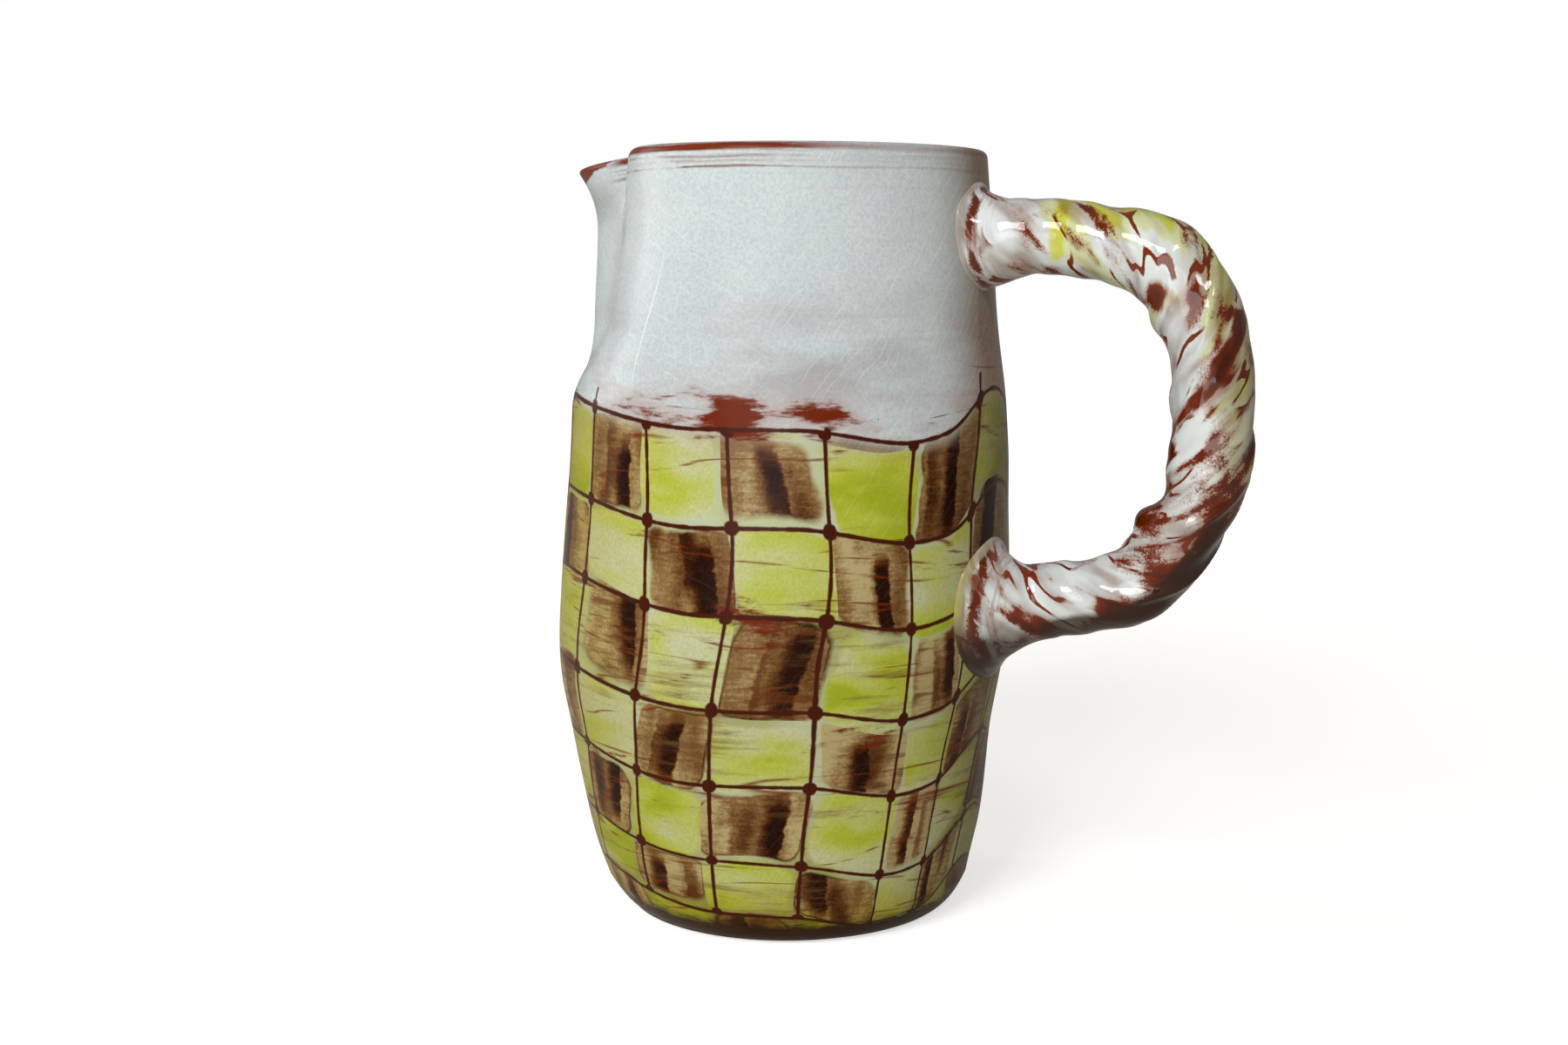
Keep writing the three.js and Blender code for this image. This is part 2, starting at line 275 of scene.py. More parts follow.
# %% Sizes of the handle, in millimetres
UPPER_JOIN = BODY_HEIGHT - 25.6
LOWER_JOIN = 98.0
HANDLE_REACH = 68.6
UPPER_SQUARENESS, LOWER_SQUARENESS = 3.5, 2.65
ROOT_DEPTH = 3.0
BUNDLE_RADIUS = 10.4
BUNDLE_SWELL = 1.5
ROLL_COUNT = 3
ROLL_RADIUS = 6.0
ROLL_OFFSET = 4.35
TWIST_TURNS = 2.6
FIRST_ROLL = math.radians(30)
COIL_RADIUS = 1.9
COIL_OFFSET = 9.0
RUN_STEPS = 160

upper_wall = outside_radius(UPPER_JOIN)
lower_wall = outside_radius(LOWER_JOIN)
root_x = upper_wall - ROOT_DEPTH
far_x = upper_wall + HANDLE_REACH
middle_z = (UPPER_JOIN + LOWER_JOIN) / 2
half_span = (UPPER_JOIN - LOWER_JOIN) / 2


def loop_point(t):
    """A point of the handle's centre line, from the upper join (0) to the lower one (1)."""
    turn = math.pi * t
    squareness = UPPER_SQUARENESS if t < 0.5 else LOWER_SQUARENESS
    out = max(math.sin(turn), 0) ** (2 / squareness)
    up = math.copysign(abs(math.cos(turn)) ** (2 / squareness), math.cos(turn))
    return Vector((root_x + (far_x - root_x) * out, 0, middle_z + half_span * up))


print("middle of the handle's grip:", [round(value, 1) for value in loop_point(0.5)])

# %% Stations at equal steps along the centre line
FINE_STEPS = 4000
AHEAD_STEPS = 4  # to both sides of a point, for its direction
fine = [loop_point(step / FINE_STEPS) for step in range(FINE_STEPS + 1)]
lengths = [0.0]
for a, b in zip(fine, fine[1:]):
    lengths.append(lengths[-1] + (b - a).length)
loop_length = lengths[-1]


def station(run):
    """Place, outward and sideways directions at a share of the run along the handle."""
    target = clamp(run) * loop_length
    i = min(range(FINE_STEPS), key=lambda k: abs(lengths[k] - target)) if run < 1 else FINE_STEPS
    ahead = (fine[min(i + AHEAD_STEPS, FINE_STEPS)] - fine[max(i - AHEAD_STEPS, 0)]).normalized()
    return fine[i], Vector((-ahead.z, 0, ahead.x)), Vector((0, -1, 0))


stations = [station(step / RUN_STEPS) for step in range(RUN_STEPS + 1)]
print("length of the handle along its middle:", round(loop_length), "mm")

# %% Lay the rolls and coils as curves
def swell(run):
    """How much thicker the bundle is between its ends."""
    return 1 + BUNDLE_SWELL / BUNDLE_RADIUS * math.sin(math.pi * run) ** 2


def strand_spot(step, turn, offset, wander, seed):
    """Where a twisting strand lies at a station, in millimetres."""
    run = step / RUN_STEPS
    place, outward, side = stations[step]
    angle = turn + TWIST_TURNS * 2 * math.pi * run + wander * noise.noise(Vector((run * 11, seed, 5)))
    return place + (outward * math.cos(angle) + side * math.sin(angle)) * offset * swell(run)


def strand(name, turn, offset, thickness, first, last, wander, seed):
    """A round strand of clay that twists round the centre line, as a mesh."""
    curve = bpy.data.curves.new(name, "CURVE")
    curve.dimensions = "3D"
    curve.bevel_depth = MM
    curve.bevel_resolution = 6
    curve.use_fill_caps = True
    steps = [step for step in range(RUN_STEPS + 1) if first <= step / RUN_STEPS <= last]
    spline = curve.splines.new("POLY")
    spline.points.add(len(steps) - 1)
    for point, step in zip(spline.points, steps):
        run = step / RUN_STEPS
        lump = noise.noise(Vector((run * loop_length / 9, seed, 0)))
        point.co = (*(strand_spot(step, turn, offset, wander, seed) * MM), 1)
        point.radius = thickness(run) * swell(run) * (1 + 0.1 * lump)
    obj = bpy.data.objects.new(name, curve)
    scene.collection.objects.link(obj)
    mesh = bpy.data.meshes.new_from_object(obj.evaluated_get(bpy.context.evaluated_depsgraph_get()))
    bpy.data.objects.remove(obj)
    bpy.data.curves.remove(curve)
    return mesh


print("bundle", round(BUNDLE_RADIUS * swell(0.5), 1), "mm in radius at the grip")

# %% How thick each strand is, and all strands
COIL_RUN = (0.22, 0.88)  # where the thin coils start and end, as shares of the run
COIL_TAPER = 0.04
CORE_RADII = (9.9, 10.7)  # of the clay in the middle, along the grip and near the joins
ROLL_WANDER, COIL_WANDER = 0.6, 0.9  # how far a strand strays from an even twist
CORE_SEED = 20


def coil_thickness(run):
    """A coil tapers to both its ends."""
    return COIL_RADIUS * clamp(min(run - COIL_RUN[0], COIL_RUN[1] - run) / COIL_TAPER, 0.1) ** 0.5


def core_thickness(run):
    """Clay smeared over the grooves near both joins, where the handle is smooth."""
    return mix(*CORE_RADII, max(1 - smoothstep(0.26, 0.42, run), smoothstep(0.8, 0.97, run)))


def roll_thickness(run):
    """A roll is even all along the run."""
    return ROLL_RADIUS


wedge = 2 * math.pi / ROLL_COUNT
clay = [strand("core", 0, 0, core_thickness, 0, 1, 0, CORE_SEED)]
clay += [
    strand(f"roll {i + 1}", FIRST_ROLL + i * wedge, ROLL_OFFSET, roll_thickness, 0, 1, ROLL_WANDER, i)
    for i in range(ROLL_COUNT)
]
COILS = [(FIRST_ROLL + (i + 0.5) * wedge, 10 + i) for i in range(2)]  # start angle and seed
clay += [
    strand(f"coil {seed - 9}", start, COIL_OFFSET, coil_thickness, *COIL_RUN, COIL_WANDER, seed)
    for start, seed in COILS
]
print("strands of clay:", len(clay))

# %% [markdown]
# ### Collars
# Where the handle meets the wall, soft clay was worked round it and thumbed out into a trumpet. It is an
# outline spun about the X axis, as the body is about Z, and its edge is then bent back to lie on the round
# wall. Scaling up the ends of the rolls would be less work, but would leave no edge on the wall.

# %% Collars round both ends
COLLARS = (  # radius on the wall, length, shift towards the front, wall radius, height
    (17.0, 21.0, 0.0, upper_wall, UPPER_JOIN - 1.2),
    (20.6, 19.0, 4.5, lower_wall, LOWER_JOIN - 0.5),
)
IN_WALL = 5  # how far a collar reaches into the wall
COLLAR_LUMP = 1.3
COLLAR_STEPS = 64


def collar(flange, length, shift, wall, height):
    """A trumpet of clay about the X axis, its edge pressed on the round wall."""
    core = BUNDLE_RADIUS
    flare = corner((flange - 1.6, 0.8), (core + 0.9, length * 0.34), (core - 1.6, length), 16)
    edge = [(0, -IN_WALL), (flange + 0.3, -IN_WALL), (flange + 0.5, -0.4), (flange - 0.4, 0.4)]
    profile = [*edge, *flare, (0, length)]
    shape = bmesh.new()
    line = [shape.verts.new((along, across, 0)) for across, along in profile]
    links = [shape.edges.new(pair) for pair in zip(line, line[1:])]
    bmesh.ops.spin(
        shape, geom=line + links, cent=(0, 0, 0), axis=(1, 0, 0), angle=2 * math.pi, steps=COLLAR_STEPS,
        use_merge=True,
    )
    bmesh.ops.remove_doubles(shape, verts=shape.verts[:], dist=SAME_POINT)
    bmesh.ops.recalc_face_normals(shape, faces=shape.faces[:])
    for vert in shape.verts:
        lump = COLLAR_LUMP * noise.noise(vert.co / 10 + Vector((flange, 0, 0)))
        lump *= 1 - smoothstep(0, length * 0.7, vert.co.x)
        vert.co.yz *= 1 + lump / max(vert.co.yz.length, 8)
        vert.co.y -= shift * (1 - smoothstep(0, length, vert.co.x))
        fall = wall - math.sqrt(wall**2 - min(vert.co.y**2, wall**2))
        vert.co += Vector((wall - fall * (1 - smoothstep(2, length, vert.co.x)), 0, height))
        vert.co *= MM
    return shape


welded = bmesh.new()
for mesh in clay:
    welded.from_mesh(mesh)
    bpy.data.meshes.remove(mesh)
for sizes in COLLARS:
    ring_mesh = bpy.data.meshes.new("collar")
    shape = collar(*sizes)
    shape.to_mesh(ring_mesh)
    shape.free()
    welded.from_mesh(ring_mesh)
    bpy.data.meshes.remove(ring_mesh)
print("faces before welding:", len(welded.faces))

# %% [markdown]
# ### Welding
# The strands and collars still pass through each other. A boolean union would leave sharp creases between
# them. A voxel remesh makes one closed skin, and a smooth modifier then rounds the creases as a wet sponge
# does.

# %% Weld the clay with a voxel remesh
VOXEL = 0.55
SOFTEN_PASSES = 34

loose = bpy.data.meshes.new("loose clay")
welded.to_mesh(loose)
welded.free()
former = bpy.data.objects.new("loose clay", loose)
scene.collection.objects.link(former)
weld = former.modifiers.new("weld", "REMESH")
weld.mode = "VOXEL"
weld.voxel_size = VOXEL * MM
soften = former.modifiers.new("soften", "SMOOTH")
soften.factor = 0.5
soften.iterations = SOFTEN_PASSES
skin = bpy.data.meshes.new_from_object(former.evaluated_get(bpy.context.evaluated_depsgraph_get()))
bpy.data.objects.remove(former)
bpy.data.meshes.remove(loose)
print("faces of the welded handle:", len(skin.polygons))

# %% [markdown]
# ### What a brush would find
# A shader sees one point at a time, and can't tell a ridge from a groove. So the mesh is measured here, and
# each point keeps what was found: how far along the handle it is, on which side, how far from a coil and from
# the wall, and how high it stands above a smoothed copy of the handle.

# %% The nearest station and the nearest coil of a point
bm = bmesh.new()
bm.from_mesh(skin)
station_tree = KDTree(RUN_STEPS + 1)
for step, (place, outward, side) in enumerate(stations):
    station_tree.insert(place * MM, step)
station_tree.balance()
coil_tree = KDTree(len(COILS) * (RUN_STEPS + 1))
for start, seed in COILS:
    for step in range(RUN_STEPS + 1):
        coil_tree.insert(strand_spot(step, start, COIL_OFFSET, COIL_WANDER, seed) * MM, step)
coil_tree.balance()
print("stations:", RUN_STEPS + 1, "on the handle and", len(COILS) * (RUN_STEPS + 1), "on the coils")

# %% Measure the handle
RELIEF_PASSES = 40
NEAR_WALL = 30.0  # a point farther out than this counts as lying just this far from the wall
every_way = dict(use_axis_x=True, use_axis_y=True, use_axis_z=True)
smoothed = bm.copy()
for _ in range(RELIEF_PASSES):
    bmesh.ops.smooth_vert(smoothed, verts=smoothed.verts[:], factor=0.5, **every_way)
relief_layer = bm.verts.layers.float.new("relief")
run_layer = bm.verts.layers.float.new("run")
outer_layer = bm.verts.layers.float.new("outer")
rib_layer = bm.verts.layers.float.new("rib")
off_wall_layer = bm.verts.layers.float.new("off_wall")
brush_layer = bm.verts.layers.float_vector.new("brush")
smoothed.verts.ensure_lookup_table()
bm.normal_update()
for vert in bm.verts:
    _, step, _ = station_tree.find(vert.co)
    place, outward, side = stations[step]
    arm = vert.co / MM - place
    ahead = arm.dot(outward.cross(side))
    run = clamp(step / RUN_STEPS + ahead / loop_length)
    angle = math.atan2(arm.dot(side), arm.dot(outward)) - TWIST_TURNS * 2 * math.pi * run
    reach = arm.length
    vert[relief_layer] = (vert.co - smoothed.verts[vert.index].co).dot(vert.normal) / MM
    vert[run_layer] = run
    vert[outer_layer] = arm.dot(outward) / max(reach, 1)
    vert[rib_layer] = coil_tree.find(vert.co)[2] / MM
    near_wall = vert.co.x < root_x * MM + NEAR_WALL * MM
    off_wall = vert.co.xy.length / MM - outside_radius(vert.co.z / MM)
    vert[off_wall_layer] = off_wall if near_wall else NEAR_WALL
    vert[brush_layer] = Vector((run * loop_length, reach * math.cos(angle), reach * math.sin(angle)))
smoothed.free()
print("relief from", round(min(v[relief_layer] for v in bm.verts), 2), "to",
      round(max(v[relief_layer] for v in bm.verts), 2), "mm")

# %% [markdown]
# ### Lumps and finger dents
# Bending a rope of clay bunches it up on the inside and stretches it on the outside, and the potter's grip
# leaves dents. Sculpting by hand could make them. Here both are pushed along the normals of the skin, the
# lumps where the photograph's outline has them and the dents from a noise as wide as a finger.

# %% Press the lumps and dents, and make the handle an object
LUMPS = (  # share of the run and its spread, side (1 outer, -1 inner) and rise in millimetres
    (0.25, 0.08, 1, 1.4), (0.34, 0.08, -1, 2.2), (0.64, 0.08, 1, -2.0), (0.675, 0.06, -1, 3.4),
    (0.77, 0.06, 1, 1.8), (0.87, 0.08, -1, 1.8),
)
DENTS = ((15, 0.6), (6, 0.05))  # size and depth
for vert in bm.verts:
    along, across, over = vert[brush_layer]
    for run, spread, side, rise in LUMPS:
        facing = max(side * vert[outer_layer], 0)
        vert.co += vert.normal * MM * rise * bump(vert[run_layer] - run, spread) * facing
    finger = sum(depth * noise.noise(vert.co / (size * MM)) for size, depth in DENTS)
    stroke = 0.05 * noise.noise(Vector((along / 18, across / 3.2, over / 3.2)))
    vert.co += vert.normal * MM * (finger + stroke)
handle_nodes = [name for name in frame["nodes"] if name != "thrown_body"]
handle = make_piece("twisted_handle", bm, handle_nodes)

# %% [markdown]
# ## Finishes
# The pot is red earthenware. White slip, which is liquid clay, was poured over it, washes of lime and brown
# pigment were brushed on in a check, and a net of dark lines with a dot at each crossing was drawn on top.
# A clear glaze was fired over everything, and it crazed into fine cracks as it cooled. A painted picture
# wrapped round the pot could show this. Here each layer is a mask that the shader works out from the place
# on the pot in millimetres, so there is no seam, and every layer can be changed by itself.

# %% One function for colours and one for nodes
def srgb(code):
    """A hex colour as linear light."""
    parts = [int(code[i:i + 2], 16) / 255 for i in (1, 3, 5)]
    return (*(p / 12.92 if p <= 0.04045 else ((p + 0.055) / 1.055) ** 2.4 for p in parts), 1)


def node(tree, kind, inputs=None, out=0, stops=(), **settings):
    """Add a node with its settings, colour stops and values or links in its inputs, and return one output."""
    made = tree.nodes.new("ShaderNode" + kind)
    for name, value in settings.items():
        setattr(made, name, value)
    for key, value in (inputs or {}).items():
        if isinstance(value, bpy.types.NodeSocket):
            tree.links.new(value, made.inputs[key])
        else:
            made.inputs[key].default_value = value
    if stops:
        ramp = made.color_ramp.elements
        for element, (position, code) in ((ramp[0], stops[0]), (ramp[1], stops[-1])):
            element.position, element.color = position, srgb(code)
        for position, code in stops[1:-1]:
            ramp.new(position).color = srgb(code)
    return made.outputs[out]


def new_material(name):
    material = bpy.data.materials.new(name)
    material.use_nodes = True
    tree = material.node_tree
    return material, tree, tree.nodes["Principled BSDF"]


print("red clay in linear light:", [round(part, 3) for part in srgb("#74301a")[:3]])

# %% Settings that come back often
# A Math node's inputs are numbered from 0. A Map Range node has the value in 0, the range that it comes
# from in 1 and 2, and the range that it goes to in 3 and 4, which is 0 to 1 where nothing is said.
PLUS, MINUS = dict(operation="ADD"), dict(operation="SUBTRACT")
TIMES, TIMES_PLUS = dict(operation="MULTIPLY"), dict(operation="MULTIPLY_ADD")
LARGER, SMALLER = dict(operation="MAXIMUM"), dict(operation="MINIMUM")
SMOOTH = dict(interpolation_type="SMOOTHSTEP")
FACTOR, COLOUR_A, COLOUR_B = 0, 6, 7  # inputs of a Mix node that mixes colours
COLOUR_MIX = dict(out=2, data_type="RGBA")
STAIN = dict(COLOUR_MIX, blend_type="MULTIPLY")
TO_MILLIMETRES = (1 / MM, 1 / MM, 1 / MM)
print("a stain is a Mix node with", STAIN)

# %% [markdown]
# ### Finding the place on the pot
# A pattern that goes round a pot is easiest to lay out by angle and height. Object coordinates are turned
# until the side that faces the camera is at 0 degrees, and scaled to millimetres. The angle jumps from 180
# to -180 at the back, so whatever depends on it has to come out the same on both sides of that jump.

# %% Where on the pot: millimetres, and degrees from the front
# Slip-painted earthenware under a clear glaze: a faintly grained white, streaky washes that let it show
# through, and a soft sheen with fine pale cracks over both.
slip_check, tree, shader = new_material("slip_painted_earthenware_clear_glaze")
place = node(tree, "TexCoord", out="Object")
spot = node(tree, "Mapping", {"Vector": place, "Rotation": (0, 0, -FRONT), "Scale": TO_MILLIMETRES})
x, y, z = node(tree, "SeparateXYZ", {0: spot}).node.outputs
turn = node(tree, "Math", {0: y, 1: x}, operation="ARCTAN2")
turn = node(tree, "Math", {0: turn}, operation="DEGREES")
thrown = node(tree, "Attribute", out="Fac", attribute_name="thrown_height")
is_in = node(tree, "Attribute", out="Fac", attribute_name="inside")


def hump(value, middle, spread, height=1.0):
    """A smooth hump of a value about its middle."""
    away = node(tree, "Math", {0: value, 1: middle}, **MINUS)
    away = node(tree, "Math", {0: away}, operation="ABSOLUTE")
    return node(tree, "MapRange", {0: away, 1: spread, 2: 0, 3: 0, 4: height}, **SMOOTH)


def streaky(vector, sizes, detail, roughness=0.5):
    """Noise drawn out into streaks of the given sizes, in millimetres along each axis."""
    drawn_out = node(tree, "Mapping", {"Vector": vector, "Scale": tuple(1 / size for size in sizes)})
    return node(tree, "TexNoise", {"Vector": drawn_out, "Scale": 1, "Detail": detail, "Roughness": roughness})


print("front of the pot at", round(math.degrees(FRONT)), "degrees")

# %% [markdown]
# ### The check
# A checker texture is too straight for that. Here a point gets a column number from its angle and a row
# number from its height, both bent by a slow noise, and whole numbers are the lines of the net.

# %% Columns of the check
COLUMNS = 16
COLUMN_ANGLE = 360 / COLUMNS
PAINTED_RADIUS = 67  # of the wall under the check, on average
COLUMN_WIDTH = math.radians(COLUMN_ANGLE) * PAINTED_RADIUS
COLUMN_START = 10.0  # angle of one upright line at the top of the check
COLUMN_LEAN = 0.05  # degrees to the right for each millimetre up
WOBBLE_SIZE, WOBBLE_ANGLE, WOBBLE_RISE = 70, 16, 7
CHECK_TOP = 150.0
wobble = node(tree, "TexNoise", {"Vector": spot, "Scale": 1 / WOBBLE_SIZE, "Detail": 0.6}, out="Color")
wobble_across, wobble_up, _ = node(tree, "SeparateColor", {0: wobble}).node.outputs
below_top = node(tree, "Math", {0: CHECK_TOP, 1: z}, **MINUS)
lean = node(tree, "Math", {0: hump(turn, 58, 36, 0.07), 1: COLUMN_LEAN}, **PLUS)
angle = node(tree, "Math", {0: below_top, 1: lean, 2: turn}, **TIMES_PLUS)
angle = node(tree, "Math", {0: wobble_across, 1: WOBBLE_ANGLE, 2: angle}, **TIMES_PLUS)
angle = node(tree, "Math", {0: angle, 1: COLUMN_START + WOBBLE_ANGLE / 2}, **MINUS)
column = node(tree, "Math", {0: angle, 1: 1 / COLUMN_ANGLE}, **TIMES)
column = node(tree, "Math", {0: column, 1: COLUMNS}, operation="FLOORED_MODULO")
print("check of", COLUMNS, "columns,", round(COLUMN_WIDTH, 1), "mm wide")

# %% Rows of the check
NET_LEVELS = (8.5, 25.0, 49.5, 73.0, 100.5, 124.0, 151.5)
ROW_HEIGHT = 24.0
TOP_LINE = NET_LEVELS[-1]
SAGS = ((66, 24, 9), (31, 28, -4), (-78, 58, 8))  # angle, spread and rise of the level lines
CURVE_HEIGHT, CURVE_ROWS = 240, 8  # what the curve's range of 0 to 1 stands for
LEVEL_SHIFT = 4.5  # takes the middle of the wobble off again, and raises every line by a millimetre
drawn = node(tree, "Math", {0: wobble_up, 1: WOBBLE_RISE, 2: z}, **TIMES_PLUS)
drawn = node(tree, "Math", {0: drawn, 1: LEVEL_SHIFT}, **MINUS)
for middle, spread, rise in SAGS:
    drawn = node(tree, "Math", {0: drawn, 1: hump(turn, middle, spread, rise)}, **MINUS)
share = node(tree, "Math", {0: drawn, 1: 1 / CURVE_HEIGHT}, **TIMES)
rows = node(tree, "FloatCurve", {"Value": share})
levels = [(0, -0.35), *((level, i) for i, level in enumerate(NET_LEVELS)), (160, 6.35), (CURVE_HEIGHT, 6.45)]
points = [(level / CURVE_HEIGHT, (i + 1) / CURVE_ROWS) for level, i in levels]
curve = rows.node.mapping.curves[0]
for level, i in points[1:-1]:
    curve.points.new(level, i)
curve.points[0].location = points[0]
curve.points[-1].location = points[-1]
for point in curve.points:
    point.handle_type = "VECTOR"
rows.node.mapping.update()
row = node(tree, "Math", {0: rows, 1: CURVE_ROWS, 2: -1}, **TIMES_PLUS)
band = node(tree, "MapRange", {0: drawn, 1: TOP_LINE + 2, 2: TOP_LINE - 5}, **SMOOTH)
print("check of", len(NET_LEVELS) - 1, "rows, up to", TOP_LINE, "mm")

# %% Each cell has its own place, chance and colour
PAINT_DRIFT = 0.8  # in cells: the washes were laid before the net, and do not follow its lines


def from_line(count, size):
    """Millimetres from the nearest line of the net."""
    away = node(tree, "Math", {0: count, 1: 0.5}, operation="PINGPONG")
    return node(tree, "Math", {0: away, 1: size}, **TIMES)


def drifted(count, drift):
    """A column or row number of the washes, which slide past the net's own."""
    moved = node(tree, "Math", {0: drift, 1: PAINT_DRIFT, 2: count}, **TIMES_PLUS)
    return node(tree, "Math", {0: moved, 1: PAINT_DRIFT / 2}, **MINUS)


def from_middle(count, size):
    """Millimetres from the middle of a cell."""
    away = node(tree, "Math", {0: count}, operation="FRACT")
    away = node(tree, "Math", {0: away, 1: 0.5}, **MINUS)
    return node(tree, "Math", {0: away, 1: size}, **TIMES)


across, up = from_line(column, COLUMN_WIDTH), from_line(row, ROW_HEIGHT)
drift = node(tree, "TexNoise", {"Vector": spot, "Scale": 1 / 60, "Detail": 1}, out="Color")
drift_across, drift_up, _ = node(tree, "SeparateColor", {0: drift}).node.outputs
paint_column, paint_row = drifted(column, drift_across), drifted(row, drift_up)
cell_column = node(tree, "Math", {0: paint_column}, operation="FLOOR")
cell_column = node(tree, "Math", {0: cell_column, 1: COLUMNS}, operation="FLOORED_MODULO")
cell_row = node(tree, "Math", {0: paint_row}, operation="FLOOR")
cell = node(tree, "CombineXYZ", {0: cell_column, 1: cell_row})
chance = node(tree, "TexWhiteNoise", {"Vector": cell}, out="Color", noise_dimensions="2D")
chance_a, chance_b, chance_c = node(tree, "SeparateColor", {0: chance}).node.outputs
chance = node(tree, "TexWhiteNoise", {"Vector": cell, "W": 7}, out="Color", noise_dimensions="4D")
chance_d, chance_e, chance_f = node(tree, "SeparateColor", {0: chance}).node.outputs
odd = node(tree, "Math", {0: cell_column, 1: cell_row}, **PLUS)
odd = node(tree, "Math", {0: odd, 1: 2}, operation="FLOORED_MODULO")
is_brown = node(tree, "Math", {0: odd, 1: 0.5}, operation="LESS_THAN")
is_lime = node(tree, "Math", {0: odd, 1: 0.5}, operation="GREATER_THAN")
in_cell_x, in_cell_y = from_middle(paint_column, COLUMN_WIDTH), from_middle(paint_row, ROW_HEIGHT)
print("cells of", round(COLUMN_WIDTH, 1), "by", ROW_HEIGHT, "mm, each with six chances")

# %% Grain of the brush: level streaks, upright streaks, fine scratches and ragged edges
level_streaks = streaky(spot, (27, 27, 9), 2.5, 0.55)
upright = node(tree, "CombineXYZ", {0: column, 1: row, 2: chance_a})
upright = node(tree, "Mapping", {"Vector": upright, "Scale": (COLUMN_WIDTH / 9, ROW_HEIGHT / 26, 9)})
upright = node(tree, "TexNoise", {"Vector": upright, "Scale": 1, "Detail": 1.5})
scratches = streaky(spot, (7, 7, 1.1), 3, 0.7)
ragged = node(tree, "TexNoise", {"Vector": spot, "Scale": 1 / 5, "Detail": 3, "Roughness": 0.65})
rim_grain = streaky(spot, (30, 30, 1.5), 4, 0.65)
cloud = node(tree, "TexNoise", {"Vector": spot, "Scale": 1 / 38, "Detail": 2})
print("nodes for place, check and grain:", len(tree.nodes))

# %% [markdown]
# ### White slip and crazing
# Slip dries to a chalky grey-white with a sandy grain, thinner where it ran off, and the clay shows through
# as a blush. One flat white would look like plastic, so several faint tints lie over each other, each with a
# size taken from the pot. Towards the handle and under the lip the white is also darkened with painted
# shade. The glaze's cracks are slanting lines, broken by noise, over a faint cell pattern.

# %% Greys, blushes, faint turning lines and painted shade
SLIP_STOPS = ((0.3, "#c2ccd1"), (0.7, "#d1dcde"))
slip = node(tree, "ValToRGB", {0: cloud}, stops=SLIP_STOPS)
turning = streaky(spot, (90, 90, 1.6), 3, 0.7)
turning = node(tree, "MapRange", {0: turning, 1: 0.58, 2: 0.75, 3: 0, 4: 0.22})
colour = node(tree, "Mix", {FACTOR: turning, COLOUR_A: slip, COLOUR_B: srgb("#a8a49f")}, **COLOUR_MIX)
blush = node(tree, "Math", {0: hump(turn, 30, 40, 0.1), 1: streaky(spot, (42, 42, 13), 3)}, **PLUS)
blush = node(tree, "MapRange", {0: blush, 1: 0.46, 2: 0.72, 3: 0, 4: 0.7})
blush = node(tree, "Math", {0: blush, 1: hump(z, 172, 26)}, **TIMES)
colour = node(tree, "Mix", {FACTOR: blush, COLOUR_A: colour, COLOUR_B: srgb("#a0989a")}, **COLOUR_MIX)
# Warm brown towards the handle: partly thinner slip over the red clay, partly painted shade.
thin_slip_and_painted_shade = node(tree, "Math", {0: cloud, 1: 14, 2: turn}, **TIMES_PLUS)
thin_slip_and_painted_shade = node(tree, "Math", {0: hump(thin_slip_and_painted_shade, 90, 46, 1.4), 1: 0.82}, **SMALLER)
colour = node(tree, "Mix", {FACTOR: thin_slip_and_painted_shade, COLOUR_A: colour, COLOUR_B: srgb("#7e5a2c")}, **COLOUR_MIX)
# Painted shade under the spout's lip, where it overhangs the neck.
painted_shade_under_lip = node(tree, "Math", {0: hump(turn, -98, 32, 0.45), 1: hump(thrown, 219, 11)}, **TIMES)
colour = node(tree, "Mix", {FACTOR: painted_shade_under_lip, COLOUR_A: colour, COLOUR_B: srgb("#77776a")}, **COLOUR_MIX)
print("nodes with the slip's tints:", len(tree.nodes))

# %% Sandy grain and pin holes
SAND, HOLE_SPACING = 0.9, 12  # the sand is drawn coarser than real grit, so that it shows
sandy = node(tree, "TexNoise", {"Vector": spot, "Scale": 1 / SAND, "Detail": 2, "Roughness": 0.6})
sandy_share = node(tree, "MapRange", {0: sandy, 1: 0.38, 2: 0.68, 3: 0, 4: 0.3})
colour = node(tree, "Mix", {FACTOR: sandy_share, COLOUR_A: colour, COLOUR_B: srgb("#8f979c")}, **COLOUR_MIX)
holes = node(tree, "TexVoronoi", {"Vector": spot, "Scale": 1 / HOLE_SPACING})
holes = node(tree, "MapRange", {0: holes, 1: 0.024, 2: 0.014, 3: 0, 4: 0.7})
colour = node(tree, "Mix", {FACTOR: holes, COLOUR_A: colour, COLOUR_B: srgb("#5a4a40")}, **COLOUR_MIX)
print("nodes with sand and pin holes:", len(tree.nodes))

